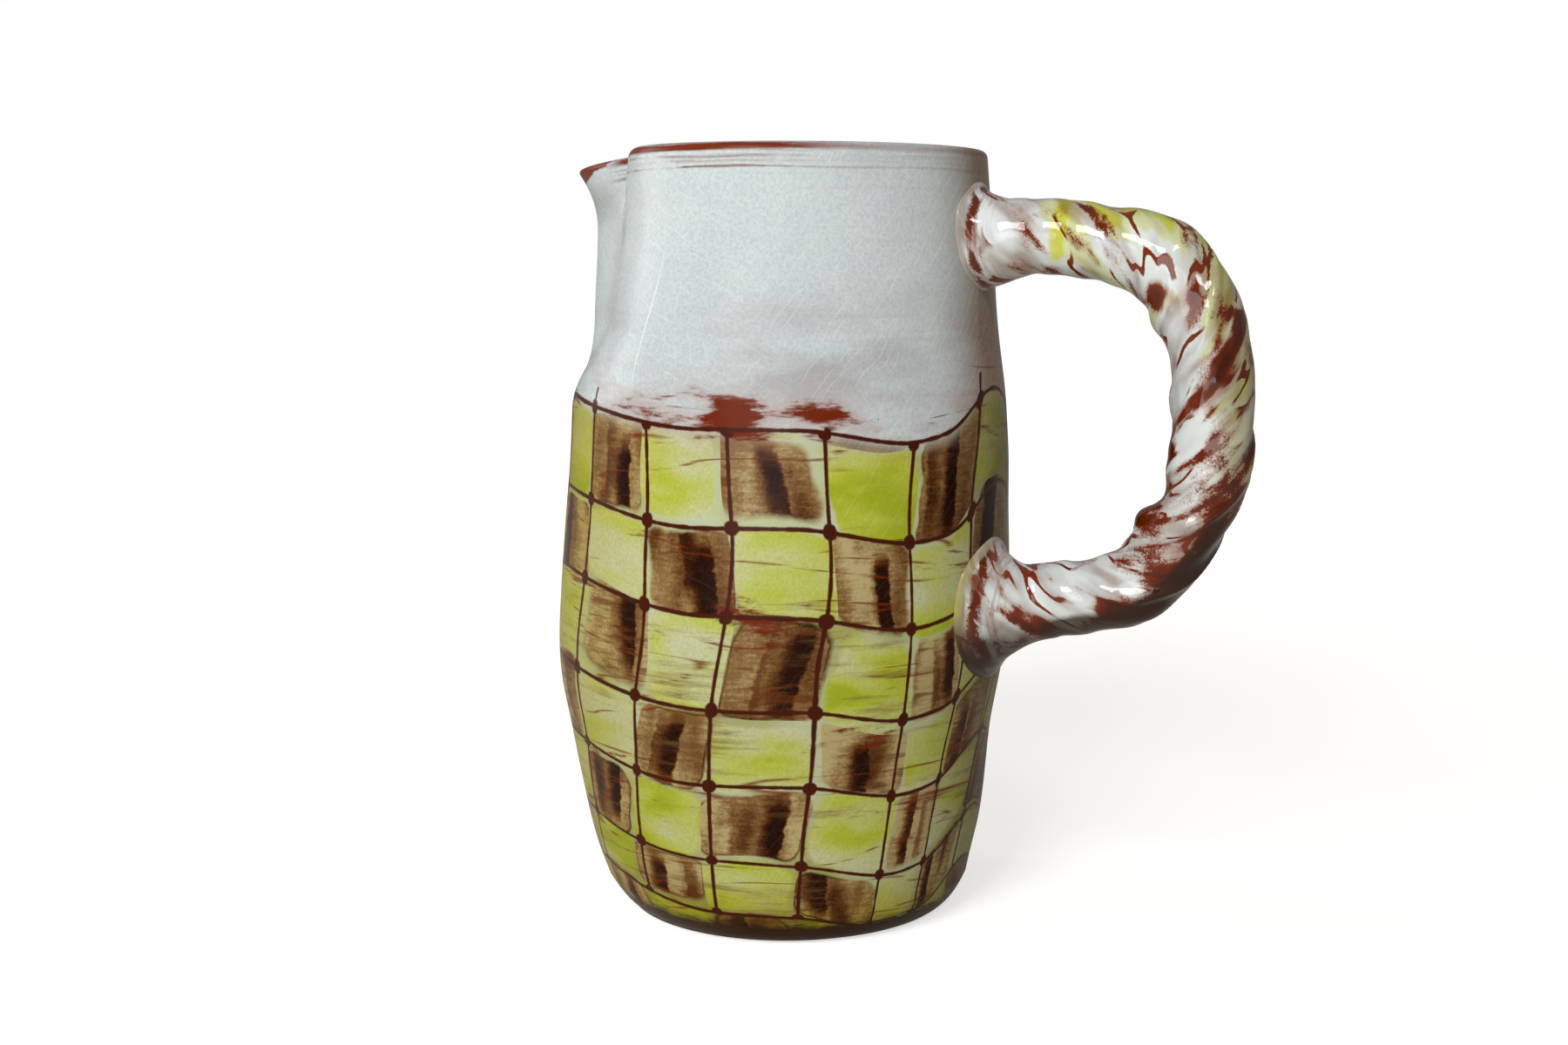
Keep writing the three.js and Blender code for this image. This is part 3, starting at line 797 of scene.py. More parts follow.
# %% Crazing: long slanting cracks and a finer crackle
CRAZE_LENGTH, CRAZE_SPACING, CRACKLE = 18.0, 2.6, 2.4
CRAZE_SLANTS = ((26, -72, 100), (-52, 36, 70))  # slant of the long cracks, and where round the pot they lie
NECK_RADIUS = 65
arc = node(tree, "Math", {0: turn, 1: math.radians(1) * NECK_RADIUS}, **TIMES)
flat = node(tree, "CombineXYZ", {0: arc, 1: z})
craze = node(tree, "TexVoronoi", {"Vector": spot, "Scale": 1 / CRACKLE}, feature="DISTANCE_TO_EDGE")
craze = node(tree, "MapRange", {0: craze, 1: 0.05, 2: 0.01, 3: 0, 4: 0.32}, **SMOOTH)
for slant, middle, spread in CRAZE_SLANTS:
    along = node(tree, "VectorRotate", {"Vector": flat, "Angle": math.radians(slant)}, rotation_type="Z_AXIS")
    wander = node(tree, "TexNoise", {"Vector": along, "Scale": 1 / 12, "Detail": 1.5})
    _, cracks, _ = node(tree, "SeparateXYZ", {0: along}).node.outputs
    cracks = node(tree, "Math", {0: wander, 1: 4.5, 2: cracks}, **TIMES_PLUS)
    cracks = node(tree, "Math", {0: cracks, 1: CRAZE_SPACING / 2}, operation="PINGPONG")
    cracks = node(tree, "MapRange", {0: cracks, 1: 0.26, 2: 0.06, 3: 0, 4: 0.7}, **SMOOTH)
    broken = streaky(along, (CRAZE_LENGTH, CRAZE_SPACING, 1), 2)
    broken = node(tree, "MapRange", {0: broken, 1: 0.46, 2: 0.56})
    here = node(tree, "Math", {0: hump(turn, middle, spread, 2.0), 1: 1}, **SMALLER)
    broken = node(tree, "Math", {0: broken, 1: here}, **TIMES)
    cracks = node(tree, "Math", {0: cracks, 1: broken}, **TIMES)
    craze = node(tree, "Math", {0: craze, 1: cracks}, **LARGER)
hairline = node(tree, "MapRange", {0: z, 1: 206, 2: 165, 3: -33, 4: -42}, **SMOOTH)
hairline = node(tree, "Math", {0: turn, 1: hairline}, **MINUS)
hairline = node(tree, "Math", {0: hairline}, operation="ABSOLUTE")
hairline = node(tree, "MapRange", {0: hairline, 1: 0.3, 2: 0.08})
hairline = node(tree, "Math", {0: hairline, 1: hump(z, 183, 30, 2.4)}, **TIMES)
craze = node(tree, "Math", {0: craze, 1: hairline}, **LARGER)
print("cracks about", CRAZE_SPACING, "mm apart in", len(CRAZE_SLANTS), "directions")

# %% [markdown]
# ### Lime and brown washes
# Each wash is a loaded brush laid down in the middle of a cell: a patch with round corners, an uneven edge
# and a darker rim where the colour pooled. The distance from a rounded box gives the patch, and chance moves
# and widens it. How thick the colour lies then picks a shade from a colour ramp, pale where it ran dry.

# %% A thin wash over the whole band
wash = node(tree, "MapRange", {0: level_streaks, 1: 0.3, 2: 0.55, 3: 0.7, 4: 1})
wash = node(tree, "Math", {0: wash, 1: band}, **TIMES)
strong = node(tree, "MapRange", {0: cloud, 1: 0.42, 2: 0.6})
wash_colour = node(
    tree, "Mix", {FACTOR: strong, COLOUR_A: srgb("#b6bd90"), COLOUR_B: srgb("#9c9a54")}, **COLOUR_MIX)
colour = node(tree, "Mix", {FACTOR: wash, COLOUR_A: colour, COLOUR_B: wash_colour}, **COLOUR_MIX)
print("nodes with the thin wash:", len(tree.nodes))

# %% The shape of a patch
PATCH_HALF_WIDTH, PATCH_HALF_HEIGHT, PATCH_ROUND = 12.0, 10.7, 5.2
PLACE_LUCK, SIZE_LUCK = 2.8, 1.8  # how far chance moves and widens a patch
EDGE_WAVE = 3.2


def past_edge(inner, half, place_luck, size_luck):
    """How far a point lies past the straight part of a patch's side. Luck moves and widens the patch."""
    moved = node(tree, "Math", {0: place_luck, 1: PLACE_LUCK, 2: inner}, **TIMES_PLUS)
    moved = node(tree, "Math", {0: moved, 1: PLACE_LUCK / 2}, **MINUS)
    moved = node(tree, "Math", {0: moved}, operation="ABSOLUTE")
    moved = node(tree, "Math", {0: size_luck, 1: -SIZE_LUCK, 2: moved}, **TIMES_PLUS)
    moved = node(tree, "Math", {0: moved, 1: half - PATCH_ROUND}, **MINUS)
    return node(tree, "Math", {0: moved, 1: 0}, **LARGER)


past_x = past_edge(in_cell_x, PATCH_HALF_WIDTH, chance_a, chance_d)
past_y = past_edge(in_cell_y, PATCH_HALF_HEIGHT, chance_b, chance_e)
past = node(tree, "CombineXYZ", {0: past_x, 1: past_y})
past = node(tree, "VectorMath", {0: past}, out="Value", operation="LENGTH")
edge_wave = node(tree, "TexNoise", {"Vector": spot, "Scale": 1 / 8, "Detail": 3, "Roughness": 0.6})
past = node(tree, "Math", {0: edge_wave, 1: EDGE_WAVE, 2: past}, **TIMES_PLUS)
past = node(tree, "Math", {0: past, 1: PATCH_ROUND + EDGE_WAVE / 2}, **MINUS)
softness = node(tree, "MapRange", {0: chance_f, 3: 0.3, 4: 1.5})
patch = node(tree, "Math", {0: past, 1: softness}, operation="DIVIDE")
patch = node(tree, "MapRange", {0: patch, 1: 1, 2: -1}, **SMOOTH)
patch = node(tree, "Math", {0: patch, 1: band}, **TIMES)
pooled = node(tree, "MapRange", {0: past, 1: -1.1, 2: -0.3}, **SMOOTH)
pooled_here = node(tree, "MapRange", {0: cloud, 1: 0.46, 2: 0.62})
pooled = node(tree, "Math", {0: pooled, 1: pooled_here}, **TIMES)
print("patches of about", 2 * PATCH_HALF_WIDTH, "by", 2 * PATCH_HALF_HEIGHT, "mm")

# %% Lime patches
LIME_STOPS = ((0.0, "#c2c69e"), (0.4, "#bcc270"), (0.75, "#b2bc38"), (1.0, "#a0ae18"))
blobs = streaky(spot, (26, 26, 15), 1, 0.4)
blobs = node(tree, "MapRange", {0: blobs, 1: 0.4, 2: 0.64, 3: 0, 4: 0.62})
lime_amount = node(tree, "MapRange", {0: level_streaks, 1: 0.3, 2: 0.7, 3: 0, 4: 0.6})
lime_amount = node(tree, "Math", {0: blobs, 1: lime_amount}, **PLUS)
lime_amount = node(tree, "Math", {0: chance_e, 1: 0.44, 2: lime_amount}, **TIMES_PLUS)
lime_amount = node(tree, "Math", {0: pooled, 1: 0.2, 2: lime_amount}, **TIMES_PLUS)
low_down = node(tree, "MapRange", {0: z, 1: 95, 2: 40, 3: 0, 4: 0.12})
lime_amount = node(tree, "Math", {0: low_down, 1: lime_amount}, **PLUS)
lime_amount = node(tree, "Math", {0: lime_amount, 1: 0.37}, **MINUS, use_clamp=True)
lime = node(tree, "ValToRGB", {0: lime_amount}, stops=LIME_STOPS)
lime = node(tree, "Mix", {FACTOR: sandy_share, COLOUR_A: lime, COLOUR_B: srgb("#8e9448")}, **COLOUR_MIX)
lime_patch = node(tree, "Math", {0: patch, 1: is_lime}, **TIMES)
colour = node(tree, "Mix", {FACTOR: lime_patch, COLOUR_A: colour, COLOUR_B: lime}, **COLOUR_MIX)
print("nodes with the lime patches:", len(tree.nodes))

# %% Dark upright strokes in the brown cells
STROKE_LENGTH, STROKE_SOFT = 15, 1.5
serrated = streaky(spot, (14, 14, 1.5), 2)


def upright_stroke(across_luck, up_luck, reach, half, strength):
    """A dark upright stroke in a cell, where luck puts it, soft on one side and hard on the other."""
    at = node(tree, "Math", {0: across_luck, 1: reach, 2: in_cell_x}, **TIMES_PLUS)
    at = node(tree, "Math", {0: ragged, 1: 2.6, 2: at}, **TIMES_PLUS)
    at = node(tree, "Math", {0: serrated, 1: 2.0, 2: at}, **TIMES_PLUS)
    at = node(tree, "Math", {0: at, 1: reach / 2 + 2.3}, **MINUS)
    at = node(tree, "Math", {0: at, 1: math.copysign(1, reach)}, **TIMES)
    fade = node(tree, "MapRange", {0: at, 1: -STROKE_SOFT * half, 2: 0, 3: 0, 4: strength}, **SMOOTH)
    edge = node(tree, "MapRange", {0: at, 1: 0.5 * half + 0.9, 2: 0.5 * half - 0.5}, **SMOOTH)
    across = node(tree, "Math", {0: fade, 1: edge}, **TIMES)
    level = node(tree, "Math", {0: up_luck, 1: 9, 2: in_cell_y}, **TIMES_PLUS)
    level = node(tree, "Math", {0: edge_wave, 1: 8, 2: level}, **TIMES_PLUS)
    level = node(tree, "Math", {0: hump(level, 8.5, STROKE_LENGTH, 1.6), 1: 1}, **SMALLER)
    return node(tree, "Math", {0: across, 1: level}, **TIMES)


dark_stroke = upright_stroke(chance_c, chance_d, 13, 3.8, 0.9)
faint_stroke = upright_stroke(chance_f, chance_a, -20, 3.4, 0.35)
print("nodes with the upright strokes:", len(tree.nodes))

# %% Brown patches: the thicker the wash, the darker
BROWN_STOPS = ((0.0, "#b4a474"), (0.25, "#8a6c42"), (0.5, "#643f1c"), (0.75, "#3f1a03"), (1.0, "#220800"))
thick = node(tree, "MapRange", {0: upright, 1: 0.3, 2: 0.7, 3: 0.0, 4: 0.52})
thick = node(tree, "Math", {0: thick, 1: dark_stroke}, **PLUS)
thick = node(tree, "Math", {0: thick, 1: faint_stroke}, **PLUS)
for layer, share in ((scratches, 0.54), (sandy, 0.4), (chance_b, 0.3), (pooled, 0.65)):
    thick = node(tree, "Math", {0: layer, 1: share, 2: thick}, **TIMES_PLUS)
thinned = node(tree, "MapRange", {0: z, 1: 140, 2: 40, 3: 0.57, 4: 0.72})
thick = node(tree, "Math", {0: thick, 1: thinned}, **MINUS, use_clamp=True)
brown = node(tree, "ValToRGB", {0: thick}, stops=BROWN_STOPS)
rust = node(tree, "Mix", {0: 0.45, 2: level_streaks, 3: serrated})
rust = node(tree, "Math", {0: chance_f, 1: 0.16, 2: rust}, **TIMES_PLUS)
rust = node(tree, "Math", {0: hump(z, 70, 45, 0.07), 1: rust}, **PLUS)
rust = node(tree, "MapRange", {0: rust, 1: 0.67, 2: 0.78, 3: 0, 4: 0.75}, **SMOOTH)
brown = node(tree, "Mix", {FACTOR: rust, COLOUR_A: brown, COLOUR_B: srgb("#63300f")}, **COLOUR_MIX)
brown_patch = node(tree, "Math", {0: patch, 1: is_brown}, **TIMES)
colour = node(tree, "Mix", {FACTOR: brown_patch, COLOUR_A: colour, COLOUR_B: brown}, **COLOUR_MIX)
print("nodes with the brown patches:", len(tree.nodes))

# %% Dry brush marks and dragged colour across the band
dry = node(tree, "Math", {0: chance_c, 1: 0.22, 2: rim_grain}, **TIMES_PLUS)
dry = node(tree, "Math", {0: hump(z, 45, 55, 0.08), 1: dry}, **PLUS)
dry = node(tree, "Math", {0: cloud, 1: 0.5, 2: dry}, **TIMES_PLUS)
dry = node(tree, "MapRange", {0: dry, 1: 1.12, 2: 1.22, 3: 0, 4: 0.7}, **SMOOTH)
dry = node(tree, "Math", {0: dry, 1: band}, **TIMES)
colour = node(tree, "Mix", {FACTOR: dry, COLOUR_A: colour, COLOUR_B: srgb("#5a3c1e")}, **COLOUR_MIX)
dragged = streaky(spot, (46, 46, 3.4), 4, 0.6)
dragged = node(tree, "Math", {0: hump(z, 78, 50, 0.1), 1: dragged}, **PLUS)
dragged = node(tree, "Math", {0: cloud, 1: 0.5, 2: dragged}, **TIMES_PLUS)
dragged = node(tree, "MapRange", {0: dragged, 1: 0.84, 2: 1.04, 3: 0, 4: 0.6}, **SMOOTH)
dragged = node(tree, "Math", {0: dragged, 1: band}, **TIMES)
colour = node(tree, "Mix", {FACTOR: dragged, COLOUR_A: colour, COLOUR_B: srgb("#6e4c24")}, **COLOUR_MIX)
print("nodes with the dry marks:", len(tree.nodes))

# %% Painted shade under the handle, by the spout and at the foot, and pale cracks over the paint
# Painted shade: the band turns darker olive on the side towards the handle.
painted_shade_right = node(tree, "Math", {0: hump(turn, 90, 62, 0.85), 1: band}, **TIMES)
colour = node(tree, "Mix", {FACTOR: painted_shade_right, COLOUR_A: colour, COLOUR_B: srgb("#8c7648")}, **STAIN)
# Painted shade: the band is darker and warmer by the spout and low down towards the foot.
low = node(tree, "MapRange", {0: z, 1: 24, 2: 5, 3: 0, 4: 0.95}, **SMOOTH)
painted_shade_left_and_low = node(tree, "Math", {0: hump(turn, -90, 70, 0.9), 1: low}, **LARGER)
painted_shade_left_and_low = node(tree, "Math", {0: painted_shade_left_and_low, 1: band}, **TIMES)
colour = node(tree, "Mix", {FACTOR: painted_shade_left_and_low, COLOUR_A: colour, COLOUR_B: srgb("#e0d468")}, **STAIN)
crack_share = node(tree, "MapRange", {0: band, 1: 0, 2: 1, 3: 0.32, 4: 0.1})
crack_share = node(tree, "Math", {0: brown_patch, 1: -0.08, 2: crack_share}, **TIMES_PLUS)
craze_tint = node(tree, "Math", {0: craze, 1: crack_share}, **TIMES, use_clamp=True)
colour = node(tree, "Mix", {FACTOR: craze_tint, COLOUR_A: colour, COLOUR_B: srgb("#f2f5f2")}, **COLOUR_MIX)
print("nodes with the deeper colour:", len(tree.nodes))

# %% [markdown]
# ### Red clay, net and rim
# Where a finger or a dry brush wiped the slip, the red clay shows. The smears are humps of angle and height,
# added to a streaky noise and cut at a threshold, so that each one has a solid middle and a torn edge. The
# net is the distance to the nearest line, and its dots are the distance to the nearest crossing.

# %% Red clay that shows where the slip was wiped or scratched
RED_SMEARS = (  # angle and its spread, level and its spread, strength
    (-12, 15, 154, 12, 0.4), (9, 15, 157, 5, 0.25), (-40, 26, 156, 7, 0.14), (-4, 34, 158, 7, 0.05),
    (-6, 26, 100, 14, 0.16), (-42, 30, 50, 12, 0.13), (14, 22, 66, 12, 0.12), (-30, 24, 76, 8, 0.12),
)
smear = hump(turn, 30, 40, 0.02)
for middle, spread, level, rise, strength in RED_SMEARS:
    one = node(tree, "Math", {0: hump(turn, middle, spread, strength), 1: hump(drawn, level, rise)}, **TIMES)
    smear = node(tree, "Math", {0: one, 1: smear}, **PLUS)
wiped = node(tree, "Math", {0: streaky(spot, (22, 22, 5), 5, 0.68), 1: smear}, **PLUS)
haze = node(tree, "MapRange", {0: wiped, 1: 0.44, 2: 0.75, 3: 0, 4: 0.6})
haze = node(tree, "Math", {0: haze, 1: hump(drawn, TOP_LINE + 3, 16)}, **TIMES)
colour = node(tree, "Mix", {FACTOR: haze, COLOUR_A: colour, COLOUR_B: srgb("#a8786a")}, **COLOUR_MIX)
wiped = node(tree, "MapRange", {0: wiped, 1: 0.64, 2: 0.77}, **SMOOTH)
below_neck = node(tree, "MapRange", {0: drawn, 1: TOP_LINE + 14, 2: TOP_LINE + 8}, **SMOOTH)
wiped = node(tree, "Math", {0: wiped, 1: below_neck}, **TIMES)
arcs = hump(streaky(spot, (120, 120, 15), 1.5), 0.5, 0.012, 0.85)
arcs_here = node(tree, "MapRange", {0: rim_grain, 1: 0.46, 2: 0.56})
arcs_here = node(tree, "Math", {0: arcs_here, 1: below_neck}, **TIMES)
arcs = node(tree, "Math", {0: arcs, 1: arcs_here}, **TIMES)
wiped = node(tree, "Math", {0: wiped, 1: arcs}, **LARGER)
colour = node(tree, "Mix", {FACTOR: wiped, COLOUR_A: colour, COLOUR_B: srgb("#6f260c")}, **COLOUR_MIX)
print("red smears:", len(RED_SMEARS))

# %% The drawn net and its dots
LINE_HALF_WIDTH, DOT_RADIUS = 0.6, 2.1
OVERSHOOT = (0.5, 9)  # how far an upright line runs past the top line, at least and at most
FAR_OFF = 50  # added to the distance from an upright line where none is drawn
line_number = node(tree, "Math", {0: column}, operation="ROUND")
overshoot = node(tree, "TexWhiteNoise", {"W": line_number}, noise_dimensions="1D")
overshoot = node(tree, "MapRange", {0: overshoot, 1: 0.5, 2: 1.0, 3: OVERSHOOT[0], 4: OVERSHOOT[1]})
overshoot = node(tree, "Math", {0: overshoot, 1: hump(turn, -12, 24, 12)}, **MINUS)
overshoot = node(tree, "Math", {0: overshoot, 1: OVERSHOOT[0]}, **LARGER)
overshoot = node(tree, "Math", {0: overshoot, 1: TOP_LINE}, **PLUS)
above = node(tree, "Math", {0: drawn, 1: overshoot}, operation="GREATER_THAN")
below = node(tree, "Math", {0: drawn, 1: NET_LEVELS[0]}, operation="LESS_THAN")
off_band = node(tree, "Math", {0: above, 1: below}, **PLUS)
uprights = node(tree, "Math", {0: off_band, 1: FAR_OFF, 2: across}, **TIMES_PLUS)
line = node(tree, "Math", {0: uprights, 1: up}, **SMALLER)
line = node(tree, "Math", {0: ragged, 1: -0.7, 2: line}, **TIMES_PLUS)
line = node(tree, "MapRange", {0: line, 1: LINE_HALF_WIDTH - 0.1, 2: LINE_HALF_WIDTH - 0.6}, **SMOOTH)
dot = node(tree, "CombineXYZ", {0: uprights, 1: up})
dot = node(tree, "VectorMath", {0: dot}, out="Value", operation="LENGTH")
dot = node(tree, "Math", {0: ragged, 1: -1.6, 2: dot}, **TIMES_PLUS)
dot = node(tree, "MapRange", {0: dot, 1: DOT_RADIUS - 0.5, 2: DOT_RADIUS - 1.1}, **SMOOTH)
net = node(tree, "Math", {0: line, 1: dot}, **LARGER)
colour = node(tree, "Mix", {FACTOR: net, COLOUR_A: colour, COLOUR_B: srgb("#45170a")}, **COLOUR_MIX)
print("net lines about", 2 * LINE_HALF_WIDTH, "mm wide, dots about", 2 * DOT_RADIUS, "mm")

# %% Rim, where the glaze broke thin over the red clay
RIM_STREAKS = ((2.6, 0.55), (4.0, 0.35), (5.6, 0.8))  # drop below the rim and strength
RIM_LEVEL = RIM_HEIGHT + 2.0
grainy = node(tree, "Math", {0: rim_grain, 1: 2.4, 2: thrown}, **TIMES_PLUS)
on_lip = node(tree, "Math", {0: hump(turn, -114, 45, 4.0), 1: 1}, **SMALLER)
off_lip = node(tree, "Math", {0: 1, 1: on_lip}, **MINUS)
rim_here = node(tree, "Math", {0: hump(turn, -58, 92, 1.5), 1: 0.28}, **PLUS, use_clamp=True)
rim_here = node(tree, "Math", {0: rim_here, 1: off_lip}, **TIMES)
rim_line = node(tree, "Math", {0: hump(grainy, RIM_LEVEL, 1.7, 1.5), 1: rim_here}, **TIMES)
broken = node(tree, "MapRange", {0: level_streaks, 1: 0.32, 2: 0.46})
broken = node(tree, "Math", {0: broken, 1: rim_here}, **TIMES)
for drop, strength in RIM_STREAKS:
    streak = node(tree, "Math", {0: hump(grainy, RIM_LEVEL - drop, 0.75, strength), 1: broken}, **TIMES)
    rim_line = node(tree, "Math", {0: rim_line, 1: streak}, **LARGER)
print("streaks under the rim:", len(RIM_STREAKS))

# %% Creases beside the spout, and its lip
crease = node(tree, "Math", {0: hump(turn, -67, 8, 0.9), 1: hump(turn, -161, 8, 0.5)}, **PLUS)
crease_up = node(tree, "MapRange", {0: thrown, 1: 196, 2: 226, 3: 0, 4: 1})
crease = node(tree, "Math", {0: crease, 1: crease_up}, **TIMES)
crease_torn = node(tree, "MapRange", {0: ragged, 1: 0.36, 2: 0.6})
crease = node(tree, "Math", {0: crease, 1: crease_torn}, **TIMES)
rim_line = node(tree, "Math", {0: rim_line, 1: crease}, **LARGER)
lip_edge = node(tree, "Math", {0: ragged, 1: 4.0, 2: thrown}, **TIMES_PLUS)
lip_edge = node(tree, "Math", {0: lip_edge, 1: hump(turn, -116, 46, 7.0)}, **PLUS)
lip_edge = node(tree, "MapRange", {0: lip_edge, 1: RIM_HEIGHT + 3.2, 2: RIM_HEIGHT + 4.4}, **SMOOTH)
lip_edge = node(tree, "Math", {0: lip_edge, 1: on_lip}, **TIMES)
rim_line = node(tree, "Math", {0: rim_line, 1: lip_edge}, **LARGER, use_clamp=True)
outer = node(tree, "Math", {0: 1.0, 1: is_in}, **MINUS, use_clamp=True)
rim_line = node(tree, "Math", {0: rim_line, 1: outer}, **TIMES)
colour = node(tree, "Mix", {FACTOR: rim_line, COLOUR_A: colour, COLOUR_B: srgb("#74301a")}, **COLOUR_MIX)
print("nodes with the rim:", len(tree.nodes))

# %% Foot with painted shade, inside and underside
# Partly a dark brown band at the foot, partly painted shade, near black where the heel turns under.
foot = node(tree, "Math", {0: scratches, 1: 7, 2: z}, **TIMES_PLUS)
foot = node(tree, "MapRange", {0: foot, 1: 12.5, 2: 9.0}, **SMOOTH)
dark_foot_and_shade_colour = node(
    tree, "Mix", {FACTOR: level_streaks, COLOUR_A: srgb("#0c0400"), COLOUR_B: srgb("#4a2c10")}, **COLOUR_MIX)
colour = node(tree, "Mix", {FACTOR: foot, COLOUR_A: colour, COLOUR_B: dark_foot_and_shade_colour}, **COLOUR_MIX)
inner = node(tree, "Mix", {FACTOR: cloud, COLOUR_A: srgb("#bfc1bb"), COLOUR_B: srgb("#d8dcd8")}, **COLOUR_MIX)
colour = node(tree, "Mix", {FACTOR: is_in, COLOUR_A: colour, COLOUR_B: inner}, **COLOUR_MIX)
under = node(tree, "Math", {0: z, 1: 0.4}, operation="LESS_THAN")
colour = node(tree, "Mix", {FACTOR: under, COLOUR_A: colour, COLOUR_B: srgb("#8a4a2c")}, **COLOUR_MIX)
print("nodes with foot and inside:", len(tree.nodes))

# %% Glaze on the body: a soft sheen over throwing rings, cracks and raised lines
RING_SPACING = 4.8
GLAZE_IOR = 1.45
rings = streaky(spot, (120, 120, RING_SPACING), 2)
height = node(tree, "Math", {0: rings, 1: 0.2}, **TIMES)
height = node(tree, "Math", {0: craze, 1: -0.03, 2: height}, **TIMES_PLUS)
height = node(tree, "Math", {0: net, 1: 0.1, 2: height}, **TIMES_PLUS)
bumps = node(tree, "Bump", {"Strength": 0.3, "Distance": MM, "Height": height})
roughness = node(tree, "MapRange", {0: ragged, 1: 0.3, 2: 0.7, 3: 0.2, 4: 0.32})
tree.links.new(colour, shader.inputs["Base Color"])
tree.links.new(roughness, shader.inputs["Roughness"])
tree.links.new(bumps, shader.inputs["Normal"])
shader.inputs["IOR"].default_value = GLAZE_IOR
shader.inputs["Specular IOR Level"].default_value = 0.1
jug_body.data.materials.append(slip_check)
print("body finish has", len(tree.nodes), "nodes")

# %% [markdown]
# ## The handle's finish
# The handle was brushed with slip. The white follows the relief: ridges took slip, grooves stayed red, and a
# dry brush left streaks along the strands. A noise alone would look like marble. The relief was measured on
# the mesh above, and the streaks twist with the rolls.

# %% What the mesh says, and the brush's streaks
# Brushed slip over red clay under a gloss glaze: torn white streaks and pools on deep red, wet and shiny,
# with small sharp highlights on every ridge.
brushed_slip, tree, shader = new_material("brushed_slip_over_red_clay_gloss_glaze")
spot = node(tree, "Mapping", {"Vector": node(tree, "TexCoord", out="Object"), "Scale": TO_MILLIMETRES})
relief = node(tree, "Attribute", out="Fac", attribute_name="relief")
run = node(tree, "Attribute", out="Fac", attribute_name="run")
outside = node(tree, "Attribute", out="Fac", attribute_name="outer")
brush = node(tree, "Attribute", out="Vector", attribute_name="brush")
rib = node(tree, "Attribute", out="Fac", attribute_name="rib")
off_wall = node(tree, "Attribute", out="Fac", attribute_name="off_wall")
_, _, level = node(tree, "SeparateXYZ", {0: spot}).node.outputs
strokes = streaky(brush, (20, 7, 7), 3)
blots = node(tree, "TexNoise", {"Vector": spot, "Scale": 1 / 13, "Detail": 2.5, "Roughness": 0.5})
grain = node(tree, "TexNoise", {"Vector": spot, "Scale": 1 / 0.6, "Detail": 2, "Roughness": 0.6})
feather = node(tree, "TexNoise", {"Vector": spot, "Scale": 1 / 16, "Detail": 0})
feather = node(tree, "MapRange", {0: feather, 1: 0.42, 2: 0.6, 3: 0.08, 4: 0.36})
print("nodes for the handle's place and streaks:", len(tree.nodes))

# %% How thick the slip lies: more on ridges and ribs, less down the handle
SLIP_SHARES = (  # share of the run, and how much slip lies there
    (0, 0.74), (0.22, 0.73), (0.32, 0.71), (0.5, 0.57), (0.64, 0.53), (0.8, 0.6), (0.88, 0.7), (1, 0.66),
)
cover = node(tree, "Math", {0: relief, 1: 0.3}, **TIMES)
cover = node(tree, "Math", {0: hump(rib, 0, 2.4, 0.5), 1: cover}, **PLUS)
cover = node(tree, "Math", {0: strokes, 1: 1.4, 2: cover}, **TIMES_PLUS)
cover = node(tree, "Math", {0: blots, 1: 1.25, 2: cover}, **TIMES_PLUS)
grain = node(tree, "Math", {0: grain, 1: 0.5}, **MINUS)
cover = node(tree, "Math", {0: grain, 1: feather, 2: cover}, **TIMES_PLUS)
shares = node(tree, "FloatCurve", {"Value": run})
curve = shares.node.mapping.curves[0]
curve.points[0].location = SLIP_SHARES[0]
curve.points[-1].location = SLIP_SHARES[-1]
for share, amount in SLIP_SHARES[1:-1]:
    curve.points.new(share, amount)
shares.node.mapping.update()
cover = node(tree, "Math", {0: cover, 1: shares}, **PLUS)
low_bend = node(tree, "MapRange", {0: run, 1: 0.55, 2: 0.68}, **SMOOTH)
before_end = node(tree, "MapRange", {0: run, 1: 0.95, 2: 0.85}, **SMOOTH)
low_bend = node(tree, "Math", {0: low_bend, 1: before_end}, **TIMES)
outer_side = node(tree, "MapRange", {0: outside, 1: 0.0, 2: 0.75})
low_bend = node(tree, "Math", {0: low_bend, 1: outer_side}, **TIMES)
cover = node(tree, "Math", {0: low_bend, 1: -0.44, 2: cover}, **TIMES_PLUS)
cover = node(tree, "Math", {0: cover, 1: 1.44}, **MINUS)
print("nodes with the slip's cover:", len(tree.nodes))

# %% Thick white blobs, thin pinkish slip and bare red clay
MILKY_STOPS = ((0.34, "#ada39d"), (0.44, "#c4c4c3"), (0.52, "#d3d9da"), (0.62, "#dde5e6"))
RED_STOPS = ((0.05, "#461200"), (0.26, "#622000"), (0.38, "#782a04"))
milky = node(tree, "Math", {0: hump(rib, 0, 2.2, 0.2), 1: streaky(brush, (13, 8, 8), 1.5)}, **PLUS)
slip = node(tree, "ValToRGB", {0: milky}, stops=MILKY_STOPS)
thin = node(tree, "MapRange", {0: cover, 1: 0.58, 2: 0.4, 3: 0, 4: 0.68}, **SMOOTH)
slip = node(tree, "Mix", {FACTOR: thin, COLOUR_A: slip, COLOUR_B: srgb("#a07a68")}, **COLOUR_MIX)
red = node(tree, "ValToRGB", {0: cover}, stops=RED_STOPS)
bare = node(tree, "MapRange", {0: cover, 1: 0.45, 2: 0.35}, **SMOOTH)
veins = hump(streaky(brush, (20, 11, 11), 1.5), 0.5, 0.045)
veins = node(tree, "Math", {0: grain, 1: 0.5, 2: veins}, **TIMES_PLUS)
veins = node(tree, "MapRange", {0: veins, 1: 0.25, 2: 0.45})
veins_here = node(tree, "Math", {0: hump(run, 0.3, 0.2, 0.1), 1: blots}, **PLUS)
veins_here = node(tree, "MapRange", {0: veins_here, 1: 0.52, 2: 0.58})
